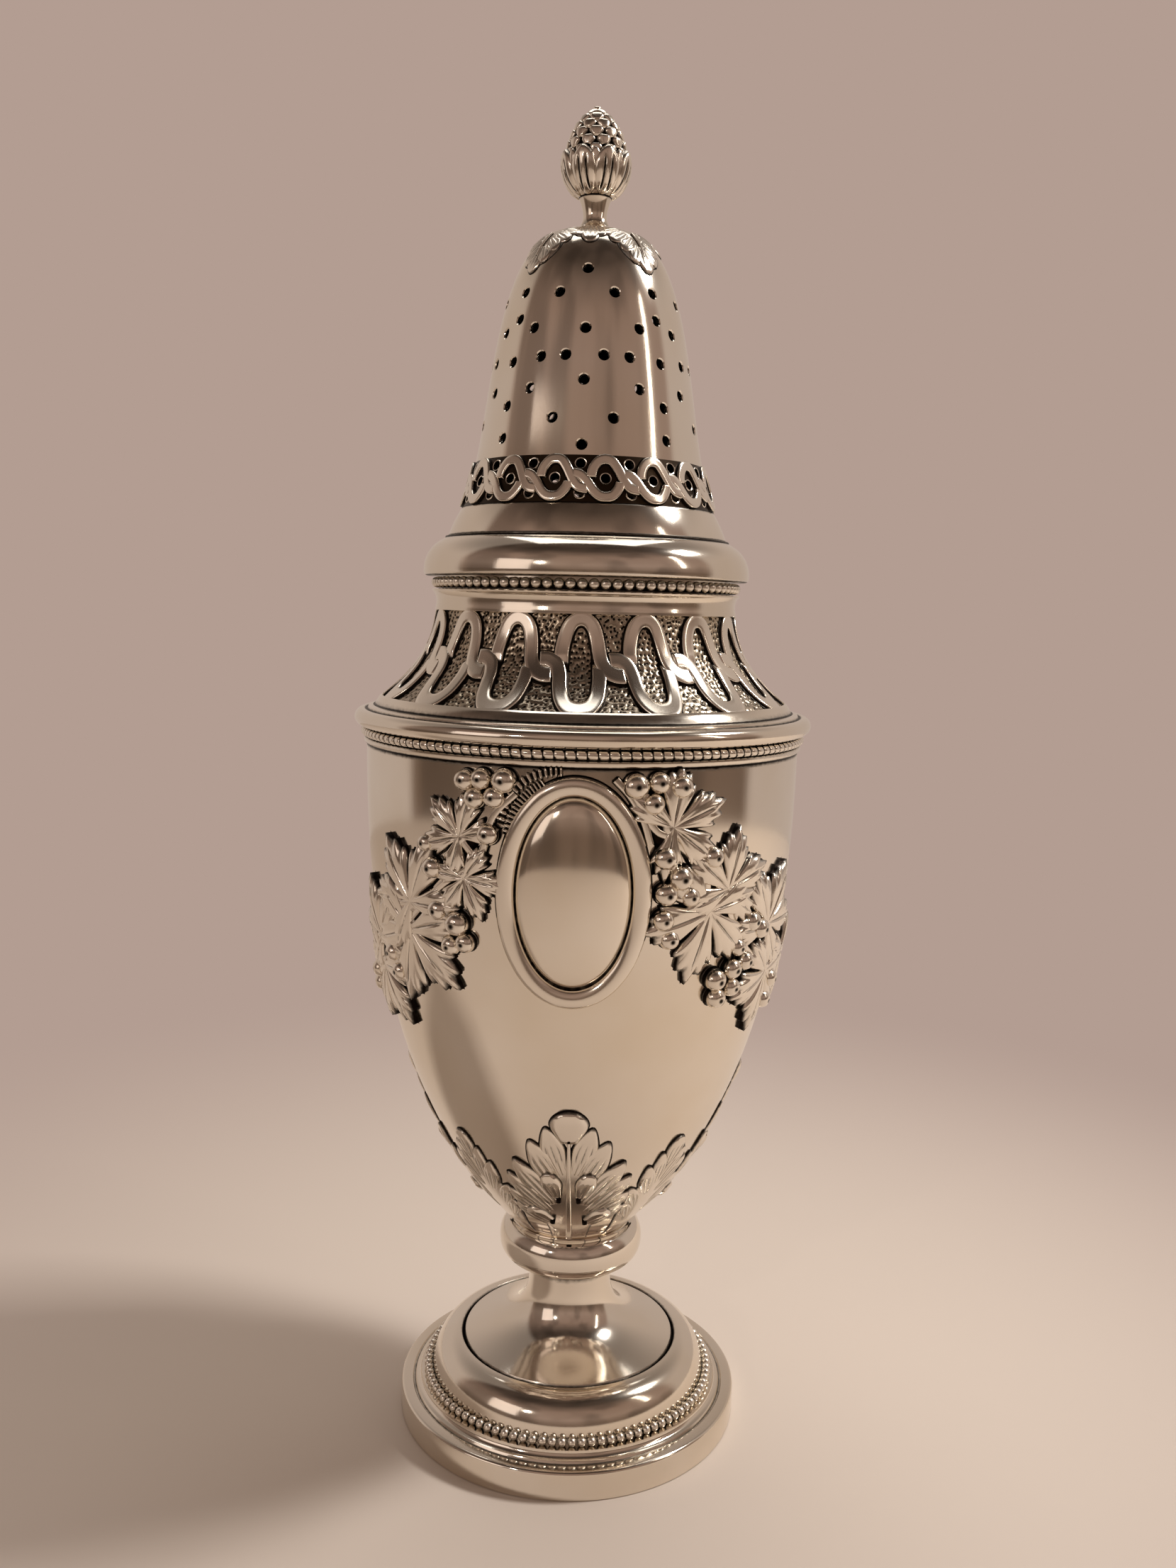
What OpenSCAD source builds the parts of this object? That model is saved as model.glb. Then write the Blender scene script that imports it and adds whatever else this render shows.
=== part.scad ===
// Sugar caster: a vase-shaped silver shaker on a domed foot, with a pull-off pierced cover.
// Millimetres, +Z up, origin on the table under the middle of the foot, front towards -Y.
// Turned and spun pieces are revolved outlines; applied ornament is cut to the surface it is soldered on.

/* [Foot] */
// Radius of the plinth band that stands on the table
plinth_r = 27; // [26.6:0.1:29]
// Height of the plinth band
plinth_h = 4.5; // [3.5:0.1:7]
// Thickness of the plinth band
plinth_wall = 1.6; // [1:0.1:2]
// Width of the flat on top of the plinth
plinth_flat = 2; // [1:0.1:2.4]
// Height of the cove between the plinth and the bead wire
foot_cove_h = 1.3; // [1.2:0.1:3]
// Radius of the domed foot at its base
foot_r = 22; // [20.5:0.1:22.4]
// Height of the convex part of the foot
foot_bulge_h = 6; // [4:0.1:9]
// Radius of the turned groove round the foot
foot_groove_r = 17.3; // [14:0.1:18.5]
// Depth of the turned groove
foot_groove_d = 0.35; // [0.2:0.05:0.6]
// Height of the hollow trumpet that draws in to the stem
trumpet_h = 10.2; // [6:0.1:12]
// Thickness of the foot's metal
foot_wall = 1.2; // [0.8:0.1:1.6]
// Diameter of the beads round the foot
foot_bead_d = 1.35; // [1:0.05:1.6]

/* [Stem] */
// Radius of the stem under the knop
stem_r = 6.5; // [5:0.1:8]
// Height of the plain stem
stem_h = 2; // [2:0.1:8]
// Largest radius of the knop
knop_r = 11.4; // [10.5:0.1:14]
// Height of the knop
knop_h = 7.4; // [6:0.1:10]
// Radius of the seat on top of the knop
knop_seat_r = 9.4; // [9.1:0.1:10.2]

/* [Bowl] */
// Radius of the bowl where it sits on the knop
bowl_base_r = 9; // [8:0.1:9.2]
// Radius of the bowl at its upper edge
bowl_r = 32.75; // [31:0.25:35]
// Height of the bowl
bowl_h = 76.6; // [70:0.2:84]
// Thickness of the bowl's metal
bowl_wall = 1; // [0.8:0.1:2]
// How far the curve runs outwards from the base
bowl_flare_out = 20; // [17:0.5:22]
// How far the curve runs upwards from the base
bowl_flare_up = 20.6; // [18:0.2:24]
// How far the belly's curve reaches down from the upper edge
bowl_belly_down = 28; // [24:0.5:32]

/* [Acanthus leaves] */
// Thickness of the applied leaves
leaf_t = 0.9; // [0.5:0.05:1.4]
// Height of the leaves' base above the foot of the bowl
calyx_rise = 3.2; // [2:0.1:5]
// Length of a large leaf, measured upwards
large_leaf_h = 23.8; // [18:0.2:28]
// Half width of a large leaf
large_leaf_w = 9.6; // [7:0.1:9.8]
// Length of a small leaf, measured upwards
small_leaf_h = 16.4; // [12:0.2:20]
// Half width of a small leaf
small_leaf_w = 4.6; // [3:0.1:5]
// Number of lobes down one side of a leaf
leaf_lobes = 5; // [3:1:6]

/* [Medallions] */
// How far the medallions' centre lies below the rim
medallion_drop = 17.1; // [16.6:0.1:20]
// Half width of the oval frame
medallion_w = 10.5; // [9:0.1:11]
// Half height of the oval frame
medallion_h = 15.95; // [14:0.05:16.2]
// Width of the frame's moulding
frame_w = 1.9; // [1.2:0.1:2.4]
// How far the frame stands off the bowl
frame_t = 1.1; // [0.7:0.1:1.6]
// Width of the groove between the frame and the boss
boss_groove = 0.9; // [0.4:0.1:1.4]
// How far the middle of the boss stands off the bowl
boss_t = 1.7; // [1.3:0.1:2.2]

/* [Vine swags] */
// Height over the rim at which the two swags would meet above a medallion
swag_over = 8.4; // [5.4:0.2:11]
// How far a swag hangs down from there at the sides
swag_drop = 44; // [40:0.5:47]
// Where a swag starts beside a medallion, as a share of the bowl's radius
branch_start = 0.3; // [0.28:0.01:0.34]
// Thickness of the vine's branch
branch_w = 1.5; // [1:0.1:2]
// Radius of the largest vine leaf
vine_leaf_r = 6; // [5:0.1:6.4]
// How far the leaves and the branch stand off the bowl
swag_t = 0.9; // [0.5:0.05:1.3]
// Radius of a grape
grape_r = 1.25; // [1:0.05:1.4]

/* [Rim] */
// Largest radius of the rim moulding
rim_r = 34.6; // [34.2:0.1:36]
// Height of the rim moulding
rim_h = 5.5; // [5:0.1:7]
// Radius of the round that the rim moulding ends in
rim_round = 1.25; // [1:0.05:1.4]
// Height of the fillet under the milled wire
rim_fillet_h = 1; // [0.6:0.1:1.2]
// Height of the milled wire
milled_h = 1.3; // [1:0.05:1.4]
// Width of one rib of the milled wire
milled_pitch = 1.45; // [1.2:0.05:2]
// Depth of the milled ribs
milled_d = 0.35; // [0.2:0.05:0.4]

/* [Shoulder and neck] */
// Height of the concave shoulder, with its collar
shoulder_h = 17.3; // [15:0.1:20]
// Radius of the neck at its narrowest
neck_r = 22.2; // [21.5:0.05:22.4]
// Thickness of the shoulder's metal
shoulder_wall = 1.2; // [0.9:0.1:1.3]
// Height of the collar above the frieze
collar_h = 2; // [1.4:0.1:3]
// How far the collar stands off the neck
collar_t = 0.7; // [0.4:0.1:1]
// Number of links round the shoulder
link_count = 16; // [12:1:17]
// How far the links stand off the shoulder
link_t = 0.5; // [0.3:0.05:0.8]
// Half width of a link
link_w = 3.6; // [2.8:0.1:3.8]
// Width of the strap that a link is made of
strap_w = 1.6; // [1:0.1:1.9]
// Diameter of the beads round the neck
neck_bead_d = 1.5; // [1.2:0.05:1.6]
// Thickness of the bezel that the cover slips over
bezel_wall = 0.9; // [0.6:0.1:1.2]
// How far the bezel stands above the neck
bezel_rise = 6.6; // [4:0.1:6.8]
// How far the bezel reaches down into the neck
bezel_depth = 5; // [3:0.1:7]

/* [Cover] */
// Angle by which the cover's pattern is turned from the front
cover_turn = -2.5; // [-20:0.5:20]
// Radius of the cover's flange
flange_r = 24.5; // [24:0.1:26]
// Height of the flange
flange_h = 5.6; // [5.2:0.1:7]
// Radius of the cover above the flange
cover_cove_r = 20.9; // [20.4:0.1:21.4]
// Height of the cove above the flange
cover_cove_h = 4.3; // [3:0.1:6]
// Radius at the foot of the pierced band
band_r = 18.85; // [18.2:0.05:19.5]
// Height of the pierced band
band_h = 6.5; // [6:0.1:7.5]
// Radius at the foot of the dome
dome_r = 16.95; // [16.4:0.05:17.8]
// Height of the dome
dome_h = 33.3; // [30:0.1:36]
// Radius of the flat that the finial stands on
crown_r = 4.6; // [4.4:0.1:5]
// Thickness of the cover's metal
cover_wall = 1; // [0.7:0.1:1.2]
// Diameter of the sugar holes
hole_d = 1.45; // [1:0.05:1.6]
// Number of eyes round the pierced band
eye_count = 16; // [12:1:16]
// Thickness of the straps on the pierced band
band_strap_t = 0.35; // [0.2:0.05:0.6]
// Thickness of the leaves round the crown
crown_leaf_t = 0.6; // [0.4:0.05:0.9]
// Length of a crown leaf, seen from above
crown_leaf_l = 7.6; // [6:0.1:8]
// Half width of a crown leaf
crown_leaf_w = 3.2; // [2.4:0.1:3.6]

/* [Finial] */
// Height of the finial's stem
finial_stem_h = 5; // [4:0.1:7]
// Radius of the finial's stem at its narrowest
finial_stem_r = 1.75; // [1.6:0.05:2.2]
// Largest radius of the finial's calyx
finial_r = 5.2; // [5:0.05:6]
// Height of the finial's calyx
finial_calyx_h = 6.3; // [5.6:0.1:7.4]
// Number of leaves in the finial's calyx
finial_leaves = 8; // [6:1:10]
// Largest radius of the cone
cone_r = 4.65; // [4.2:0.05:4.7]
// Height of the cone above the calyx
cone_h = 6; // [5:0.1:8]
// Number of rows of scales on the cone
cone_rows = 7; // [5:1:8]
// Radius of the peg that holds the finial
peg_r = 1.5; // [1.2:0.05:1.55]
// Height of the nut under the crown
nut_h = 2; // [1.5:0.1:3]
// Radius of the nut across its corners
nut_r = 3; // [2.6:0.1:3.2]

/* [Fits] */
// Gap left for solder under applied pieces
solder_gap = 0.05; // [0.02:0.01:0.1]
// Gap all round between the cover and the bezel
slip_gap = 0.3; // [0.2:0.05:0.4]
// Gap between the cover and the neck that it rests on
seat_gap = 0.3; // [0.2:0.05:0.5]

/* [Hidden] */
$fn = 180;
bright = [0.84, 0.80, 0.75];
warm = [0.78, 0.73, 0.67];
dark = [0.62, 0.57, 0.52];

// Heights of the stack, from the table upwards
shelf_z = plinth_h + foot_cove_h;
groove_z = shelf_z + foot_bulge_h;
stem_z = groove_z + trumpet_h;
knop_z = stem_z + stem_h;
bowl_z = knop_z + knop_h;
rim_z = bowl_z + bowl_h;
shoulder_z = rim_z + rim_h;
neck_z = shoulder_z + shoulder_h;
lip_over_beads = 0.4;
lip_h = neck_bead_d + lip_over_beads;
flange_z = neck_z + lip_h + seat_gap;
cover_cove_z = flange_z + flange_h;
band_z = cover_cove_z + cover_cove_h;
dome_z = band_z + band_h;
crown_z = dome_z + dome_h;
calyx_z = crown_z + finial_stem_h;

// Radii that follow from a fit
neck_bore = neck_r - shoulder_wall;
bezel_r = neck_bore - solder_gap;
flange_bore = bezel_r + slip_gap;
bead_margin = 0.35;
medallion_z = rim_z - medallion_drop;
shelf_r = foot_r + foot_bead_d + bead_margin;
collar_r = neck_r + collar_t;
bead_overhang = 0.4;
neck_bead_r = collar_r + bead_overhang - neck_bead_d / 2;
rim_overhang = 2.75;
rim_foot_r = rim_r - rim_overhang;
frieze_margin = 0.8;
frieze_step = 1.2;
frieze_r = rim_foot_r - frieze_step;
frieze_z = shoulder_z + frieze_margin;
frieze_top_z = neck_z - collar_h - frieze_margin;
frieze_h = frieze_top_z - frieze_z;

// Points on a cubic curve, its steps and its two ends included
function curve(a, b, c, d, steps) = [for (i = [0:steps])
  let (t = i / steps, s = 1 - t)
  s * s * s * a + 3 * s * s * t * b + 3 * s * t * t * c + t * t * t * d];
function backwards(points) = [for (i = [len(points) - 1:-1:0]) points[i]];
function along(points, i) =
  let (d = points[min(i + 1, len(points) - 1)] - points[max(i - 1, 0)]) d / norm(d);
// The outline moved by w to its left, which is inwards where it runs up the right-hand side
function inset(points, w) = [for (i = [0:len(points) - 1])
  let (d = along(points, i)) points[i] + w * [-d[1], d[0]]];
// The same, with both ends level with those of the outline
function level_inset(points, w) =
  let (moved = inset(points, w), last = len(points) - 1)
  [for (i = [0:last])
    [moved[i][0], i == 0 || i == last ? points[i][1] : max(moved[i][1], points[0][1])]];
function shell(points, w) = concat(points, backwards(level_inset(points, w)));
// Radius of an outline at height z
function radius_at(points, z) = lookup(z, [for (p = points) [p[1], p[0]]]);
function ellipse(w, h, n) = [for (i = [0:n - 1]) [w * cos(360 * i / n), h * sin(360 * i / n)]];
function bead_count(r, d) = floor(2 * PI * r / (d * 1.05));

foot_curve = concat(
  curve([foot_r, shelf_z], [foot_r, shelf_z + 0.55 * foot_bulge_h],
    [0.35 * foot_groove_r + 0.65 * foot_r, groove_z], [foot_groove_r, groove_z], 6),
  [[foot_groove_r - foot_groove_d / 2, groove_z - foot_groove_d]],
  curve([foot_groove_r - foot_groove_d, groove_z],
    [0.35 * foot_groove_r + 0.65 * stem_r, groove_z + 0.2 * trumpet_h],
    [stem_r, groove_z + 0.36 * trumpet_h], [stem_r, stem_z], 8),
  [[stem_r, knop_z]]);
knop_curve = concat(
  curve([stem_r, knop_z], [0.9 * knop_r, knop_z + 0.1 * knop_h], [knop_r, knop_z + 0.3 * knop_h],
    [knop_r, knop_z + 0.55 * knop_h], 6),
  curve([knop_r, knop_z + 0.6 * knop_h], [knop_r, knop_z + 0.8 * knop_h],
    [0.6 * knop_seat_r + 0.4 * knop_r, bowl_z], [knop_seat_r, bowl_z], 5));
bowl_curve = curve([bowl_base_r, bowl_z], [bowl_base_r + bowl_flare_out, bowl_z + bowl_flare_up],
  [bowl_r, rim_z - bowl_belly_down], [bowl_r, rim_z], 14);
frieze_curve = curve([frieze_r, frieze_z], [neck_r + 0.5 * (frieze_r - neck_r), frieze_z + 0.226 * frieze_h],
  [neck_r + 0.035 * (frieze_r - neck_r), frieze_z + 0.54 * frieze_h], [neck_r, frieze_top_z], 7);
cove_draw = cover_cove_r - band_r;
cove_curve = curve([cover_cove_r, cover_cove_z],
  [cover_cove_r - 0.2 * cove_draw, cover_cove_z + 0.3 * cover_cove_h],
  [band_r + 0.4 * cove_draw, band_z - 0.3 * cover_cove_h], [band_r, band_z], 5);
dome_draw = dome_r - crown_r;
dome_curve = curve([dome_r, dome_z], [dome_r - 0.2 * dome_draw, dome_z + 0.35 * dome_h],
  [dome_r - 0.254 * dome_draw, crown_z - 0.032 * dome_h], [crown_r, crown_z], 12);
calyx_foot_step = 0.7;
calyx_foot_r = finial_stem_r + calyx_foot_step;
cone_z = calyx_z + finial_calyx_h;
cone_seat_z = calyx_z + 0.25 * finial_calyx_h;
cone_seat_h = 0.35 * finial_calyx_h;
cone_seat_w = 0.43 * cone_r;
cone_curve = curve([cone_r, cone_z], [cone_r, cone_z + 0.45 * cone_h],
  [0.5 * cone_r, cone_z + 0.9 * cone_h], [0.13 * cone_r, cone_z + cone_h], cone_rows);

module revolve(points) {
  rotate_extrude() polygon(points);
}

// A flat shape pushed outwards to the front, from one distance off the axis to another
module outwards(near, far) {
  rotate([90, 0, 0]) translate([0, 0, near]) linear_extrude(far - near) children();
}

// The solid under an outline, raised by lift, down to the axis
module solid_under(points, lift) {
  raised = inset(points, -lift);
  last = len(points) - 1;
  revolve(concat([[0, points[0][1] - lift]], [[raised[0][0], points[0][1] - lift]], raised,
    [[raised[last][0], points[last][1] + lift]], [[0, points[last][1] + lift]]));
}

// Ornament that lies on a revolved surface: its children cut to a layer of thickness t
module applied(points, t) {
  difference() {
    intersection() {
      children();
      solid_under(points, t);
    }
    solid_under(points, solder_gap);
  }
}

// A row of beads on a strip that runs round just behind their middles
module bead_wire(d, r, z) {
  count = bead_count(r, d);
  inner_r = r - 0.3 * d;
  strip_r = r - 0.05 * d;
  strip_h = 0.8 * d;
  for (i = [0:count - 1]) rotate([0, 0, 360 * i / count]) translate([0, -r, z + d / 2]) rotate([0, 0, -90])
    sphere(d = d, $fn = 24);
  revolve([[inner_r, z], [strip_r, z], [strip_r, z + strip_h], [inner_r, z + strip_h]]);
}

// Children laid on an outline at height z, at the front, their own +Z pointing straight off it
module on_surface(points, z) {
  lean = atan2(radius_at(points, z - 0.5) - radius_at(points, z + 0.5), 1);
  translate([0, -radius_at(points, z), z]) rotate([90 - lean, 0, 0]) children();
}

// Outline of an acanthus leaf standing on its base: rounded lobes down both sides
function leaf_side(w, h) = [for (i = [0:2 * leaf_lobes - 1])
  let (t = (i + 0.5) / (2 * leaf_lobes), reach = pow(sin(180 * pow(0.06 + 0.94 * t, 0.8)), 0.75))
  [w * reach * (i % 2 == 0 ? 0.8 : 1), h * t]];
function leaf_outline(w, h) = concat([[0.45 * w, 0]], leaf_side(w, h), [[0, h]],
  backwards([for (p = leaf_side(w, h)) [-p[0], p[1]]]), [[-0.45 * w, 0]]);

// Outline of a vine leaf with five pointed lobes round its middle
vine_points = 20;
function vine_outline(r) = [for (i = [0:vine_points - 1])
  let (a = 360 * i / vine_points, reach = r * (0.55 + 0.45 * abs(cos(2.5 * a))))
  [reach * sin(a), reach * cos(a)]];

// Plinth band with the shelf that the foot and its bead wire are soldered on
module foot_plinth() {
  edge = 0.4;
  color(bright) revolve([[plinth_r - plinth_wall, 0], [plinth_r, 0], [plinth_r, plinth_h - edge],
    [plinth_r - edge, plinth_h], [plinth_r - plinth_flat, plinth_h],
    [shelf_r + 0.3, plinth_h + 0.5 * foot_cove_h], [shelf_r, shelf_z],
    [foot_r - foot_wall, shelf_z], [foot_r - foot_wall, shelf_z - foot_wall],
    [plinth_r - plinth_wall - 1.4, shelf_z - foot_wall], [plinth_r - plinth_wall, plinth_h - 1.2]]);
}

module foot_bead_wire() {
  color(bright) bead_wire(foot_bead_d, foot_r + solder_gap + foot_bead_d / 2, shelf_z + solder_gap);
}

// Spun foot: a convex ring, a turned groove and a trumpet that draws in to the stem
module foot_dome() {
  color(warm) revolve(shell(foot_curve, foot_wall));
}

module stem_knop() {
  color(bright) revolve(concat([[0, knop_z]], knop_curve, [[0, bowl_z]]));
}

module bowl() {
  inside = level_inset(bowl_curve, bowl_wall);
  floor_z = bowl_z + bowl_wall;
  hollow = [for (p = inside) if (p[1] > floor_z + 0.5) p];
  color(bright) revolve(concat([[0, bowl_z]], bowl_curve, backwards(hollow),
    [[bowl_base_r - bowl_wall, floor_z], [0, floor_z]]));
}

module acanthus_ring(w, h, turn) {
  for (q = [0:3]) rotate([0, 0, turn + 90 * q]) applied(bowl_curve, leaf_t)
    outwards(6, bowl_r) translate([0, bowl_z + calyx_rise]) polygon(leaf_outline(w, h));
}

module calyx_large_leaves() {
  color(warm) acanthus_ring(large_leaf_w, large_leaf_h, 0);
}

module calyx_small_leaves() {
  color(warm) acanthus_ring(small_leaf_w, small_leaf_h, 45);
}

oval_points = 40;
module medallion_frame() {
  applied(bowl_curve, frame_t) outwards(bowl_r / 2, bowl_r + frame_t)
    translate([0, medallion_z]) difference() {
      polygon(ellipse(medallion_w, medallion_h, oval_points));
      polygon(ellipse(medallion_w - frame_w, medallion_h - frame_w, oval_points));
    }
}

// Plain convex boss: a barrel that bulges further across than upwards, cut to an oval
module medallion_boss() {
  w = medallion_w - frame_w - boss_groove;
  h = medallion_h - frame_w - boss_groove;
  barrel_r = 2.1 * w;
  sag = 0.9;
  front = radius_at(bowl_curve, medallion_z) + boss_t;
  side = curve([barrel_r - sag, -h], [barrel_r, -h / 3], [barrel_r, h / 3], [barrel_r - sag, h], 6);
  difference() {
    intersection() {
      outwards(bowl_r / 2, bowl_r + boss_t) translate([0, medallion_z])
        polygon(ellipse(w, h, oval_points));
      translate([0, barrel_r - front, medallion_z])
        revolve(concat([[0, -h]], side, [[0, h]]));
    }
    solid_under(bowl_curve, solder_gap);
  }
}

module front_medallion_frame() {
  color(warm) medallion_frame();
}

module front_medallion_boss() {
  color(bright) medallion_boss();
}

module back_medallion_frame() {
  color(warm) rotate([0, 0, 180]) medallion_frame();
}

module back_medallion_boss() {
  color(bright) rotate([0, 0, 180]) medallion_boss();
}

// Places on a swag: degrees from the medallion and share of the bowl's height,
// then, for a leaf, its share of the largest leaf's radius and its turn
left_leaves = [[29, 0.875, 0.767, -16], [47, 0.777, 0.867, -15], [27.5, 0.764, 0.667, 10],
  [46, 0.62, 1, 160], [66, 0.666, 0.867, 30], [78, 0.542, 0.867, 200]];
right_leaves = [[30, 0.89, 0.767, -30], [45, 0.796, 1, 10], [33, 0.659, 0.933, 170],
  [57, 0.581, 0.9, 190], [66, 0.731, 0.9, -20], [78, 0.548, 0.867, 160]];
left_grapes = [[15.9, 0.971], [22, 0.969], [18.2, 0.935], [24.6, 0.94], [18.5, 0.883], [36, 0.809],
  [36.5, 0.725], [29.6, 0.692], [32.5, 0.648], [58, 0.568], [62.5, 0.542], [59, 0.516]];
right_grapes = [[14, 0.969], [20, 0.971], [26, 0.966], [17.4, 0.932], [21.2, 0.836], [25.5, 0.803],
  [21.8, 0.764], [21.6, 0.722], [47, 0.64], [44.5, 0.601], [44, 0.559], [52, 0.697]];

module leaf_blanks(leaves, margin) {
  for (side = [0, 1]) mirror([0, side, 0]) for (p = leaves) rotate([0, 0, p[0]])
    outwards(bowl_r / 2, bowl_r + swag_t) translate([0, bowl_z + p[1] * bowl_h]) rotate(p[3])
      polygon(vine_outline(p[2] * vine_leaf_r + margin));
}

// Grapes are balls set a little off the bowl, with a flat under each where it is soldered down
module grape_balls(grapes, margin) {
  sunk = 0.7 * grape_r;
  block_h = 3 * grape_r;
  base = sunk - grape_r + 2 * solder_gap - margin;
  for (side = [0, 1]) mirror([0, side, 0]) for (p = grapes) {
    z = bowl_z + p[1] * bowl_h;
    rotate([0, 0, p[0]]) on_surface(bowl_curve, z) translate([0, 0, grape_r - sunk]) difference() {
      sphere(r = grape_r + margin, $fn = 24);
      translate([0, 0, base - block_h]) cylinder(r = 2 * grape_r, h = block_h);
    }
  }
}

module vine_leaves(leaves) {
  for (p = leaves) applied(bowl_curve, swag_t) leaf_blanks([p], 0);
}

// The branch hangs in one slanting plane, from one medallion round the side to the other, under the leaves
module vine_branch(leaves, grapes) {
  slant = atan2(swag_drop, bowl_r);
  reach = 2 * bowl_r;
  depth = 1.9 * bowl_r;
  difference() {
    applied(bowl_curve, 0.8 * swag_t) intersection() {
      translate([0, 0, rim_z + swag_over]) rotate([0, slant, 0])
        translate([0, -depth / 2, -branch_w / 2]) cube([reach, depth, branch_w]);
      translate([branch_start * bowl_r, -bowl_r, bowl_z]) cube([reach, 2 * bowl_r, bowl_h]);
    }
    leaf_blanks(leaves, solder_gap);
    grape_balls(grapes, solder_gap);
  }
}

module left_vine_leaves() {
  color(dark) mirror([1, 0, 0]) vine_leaves(left_leaves);
}

module left_vine_grapes() {
  color(dark) mirror([1, 0, 0]) grape_balls(left_grapes, 0);
}

module left_vine_branch() {
  color(dark) mirror([1, 0, 0]) vine_branch(left_leaves, left_grapes);
}

module right_vine_leaves() {
  color(dark) vine_leaves(right_leaves);
}

module right_vine_grapes() {
  color(dark) grape_balls(right_grapes, 0);
}

module right_vine_branch() {
  color(dark) vine_branch(right_leaves, right_grapes);
}

// Rim moulding: a fillet, a channel for the milled wire and a heavy round
milled_z = rim_z + rim_fillet_h + solder_gap;
milled_inset = 0.15;
milled_r = bowl_r - milled_inset;
fillet_overhang = 0.4;
module rim_moulding() {
  channel_top = milled_z + milled_h + solder_gap;
  middle = [rim_r - rim_round, channel_top + 1.08 * rim_round];
  round_points = [for (i = [0:8]) let (a = -80 + 20 * i) middle + rim_round * [cos(a), sin(a)]];
  fillet_r = bowl_r + fillet_overhang;
  color(bright) revolve(concat([[bowl_r - bowl_wall, rim_z], [fillet_r, rim_z],
    [fillet_r, milled_z - solder_gap], [milled_r, milled_z - solder_gap], [milled_r, channel_top]],
    round_points, [[rim_foot_r, shoulder_z], [rim_foot_r - 2 * shoulder_wall, shoulder_z]]));
}

module rim_milled_wire() {
  wire_t = 1;
  ribs = floor(2 * PI * (milled_r + 0.8 * wire_t) / milled_pitch);
  outer = milled_r + wire_t;
  steps = [0, 0.6, 1, 0.6];
  color(bright) translate([0, 0, milled_z]) linear_extrude(milled_h) difference() {
    polygon([for (i = [0:ribs - 1]) for (k = [0:3])
      let (a = 360 * (i + k / 4) / ribs, r = outer - milled_d * (1 - steps[k])) [r * cos(a), r * sin(a)]]);
    circle(r = milled_r + solder_gap, $fn = 360);
  }
}

// Shoulder with its collar, and a lip inside the bead wire that the cover comes down on
module shoulder() {
  plain = concat([[rim_foot_r, shoulder_z]], frieze_curve, [[neck_r, neck_z]]);
  collar = [[collar_r - 0.2, neck_z - collar_h], [collar_r, neck_z - collar_h + 0.4], [collar_r, neck_z]];
  lip_r = neck_bead_r - neck_bead_d / 2 - solder_gap;
  lip = [[lip_r, neck_z], [lip_r, neck_z + lip_h], [neck_bore, neck_z + lip_h]];
  color(warm) revolve(concat([[rim_foot_r, shoulder_z]], frieze_curve, collar, lip,
    backwards(level_inset(plain, shoulder_wall))));
}

// Frieze of oval links that lean back with the shoulder
module shoulder_guilloche() {
  edge = 0.2;
  low = frieze_z + edge;
  high = frieze_top_z - edge;
  middle = (low + high) / 2;
  h = (high - low) / 2;
  color(warm) for (i = [0:link_count - 1]) rotate([0, 0, 360 * i / link_count])
    applied(frieze_curve, link_t) outwards(neck_r / 2, rim_r) translate([0, middle]) difference() {
      polygon(ellipse(link_w, h, 24));
      polygon(ellipse(link_w - strap_w, h - strap_w, 24));
    }
}

module neck_bead_wire() {
  color(bright) bead_wire(neck_bead_d, neck_bead_r, neck_z + solder_gap);
}

// Plain bezel that stands up out of the neck
module neck_bezel() {
  color(bright) revolve([[bezel_r - bezel_wall, neck_z - bezel_depth], [bezel_r, neck_z - bezel_depth],
    [bezel_r, neck_z + bezel_rise - 0.3], [bezel_r - 0.3, neck_z + bezel_rise],
    [bezel_r - bezel_wall, neck_z + bezel_rise]]);
}

module cover_flange() {
  edge = 0.5;
  round_points = curve([flange_r, flange_z + 1.2], [flange_r, flange_z + 0.57 * flange_h],
    [cover_cove_r + 2.2, flange_z + 0.8 * flange_h], [cover_cove_r + edge, cover_cove_z - 0.3], 6);
  color(bright) revolve(concat([[flange_bore, flange_z], [flange_r - edge, flange_z],
    [flange_r - edge, flange_z + edge]], round_points, [[cover_cove_r + edge, cover_cove_z],
    [cover_cove_r - cover_wall, cover_cove_z], [flange_bore, cover_cove_z - 0.8]]));
}

module cover_cove() {
  color(bright) revolve(shell(cove_curve, cover_wall));
}

// Pierced band: a row of eyes, with smaller holes above and below between them
module cover_pierced_band() {
  pitch = 360 / eye_count;
  hole_edge = 0.5;
  side_hole = hole_d / 2 + hole_edge;
  color(warm) difference() {
    revolve(shell([[band_r, band_z], [dome_r, dome_z]], cover_wall));
    for (i = [0:eye_count - 1]) rotate([0, 0, cover_turn + pitch * i]) {
      rotate([0, 0, pitch / 2]) hole_through(band_z + band_h / 2);
      hole_through(band_z + side_hole);
      hole_through(dome_z - side_hole);
    }
  }
}

module hole_through(z) {
  translate([0, 0, z]) outwards(dome_r - 4 * cover_wall, band_r + 4 * cover_wall)
    circle(d = hole_d, $fn = 24);
}

module cover_band_straps() {
  pitch = 360 / eye_count;
  outer = min(band_h / 2 - 0.2, PI * dome_r / eye_count - 0.3);
  color(warm) for (i = [0:eye_count - 1]) rotate([0, 0, cover_turn + pitch * (i + 0.5)])
    applied([[band_r, band_z], [dome_r, dome_z]], band_strap_t)
      translate([0, 0, band_z + band_h / 2]) outwards(dome_r / 2, band_r + 2) difference() {
        circle(r = outer, $fn = 32);
        circle(r = hole_d / 2 + 0.9, $fn = 32);
      }
}

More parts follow.
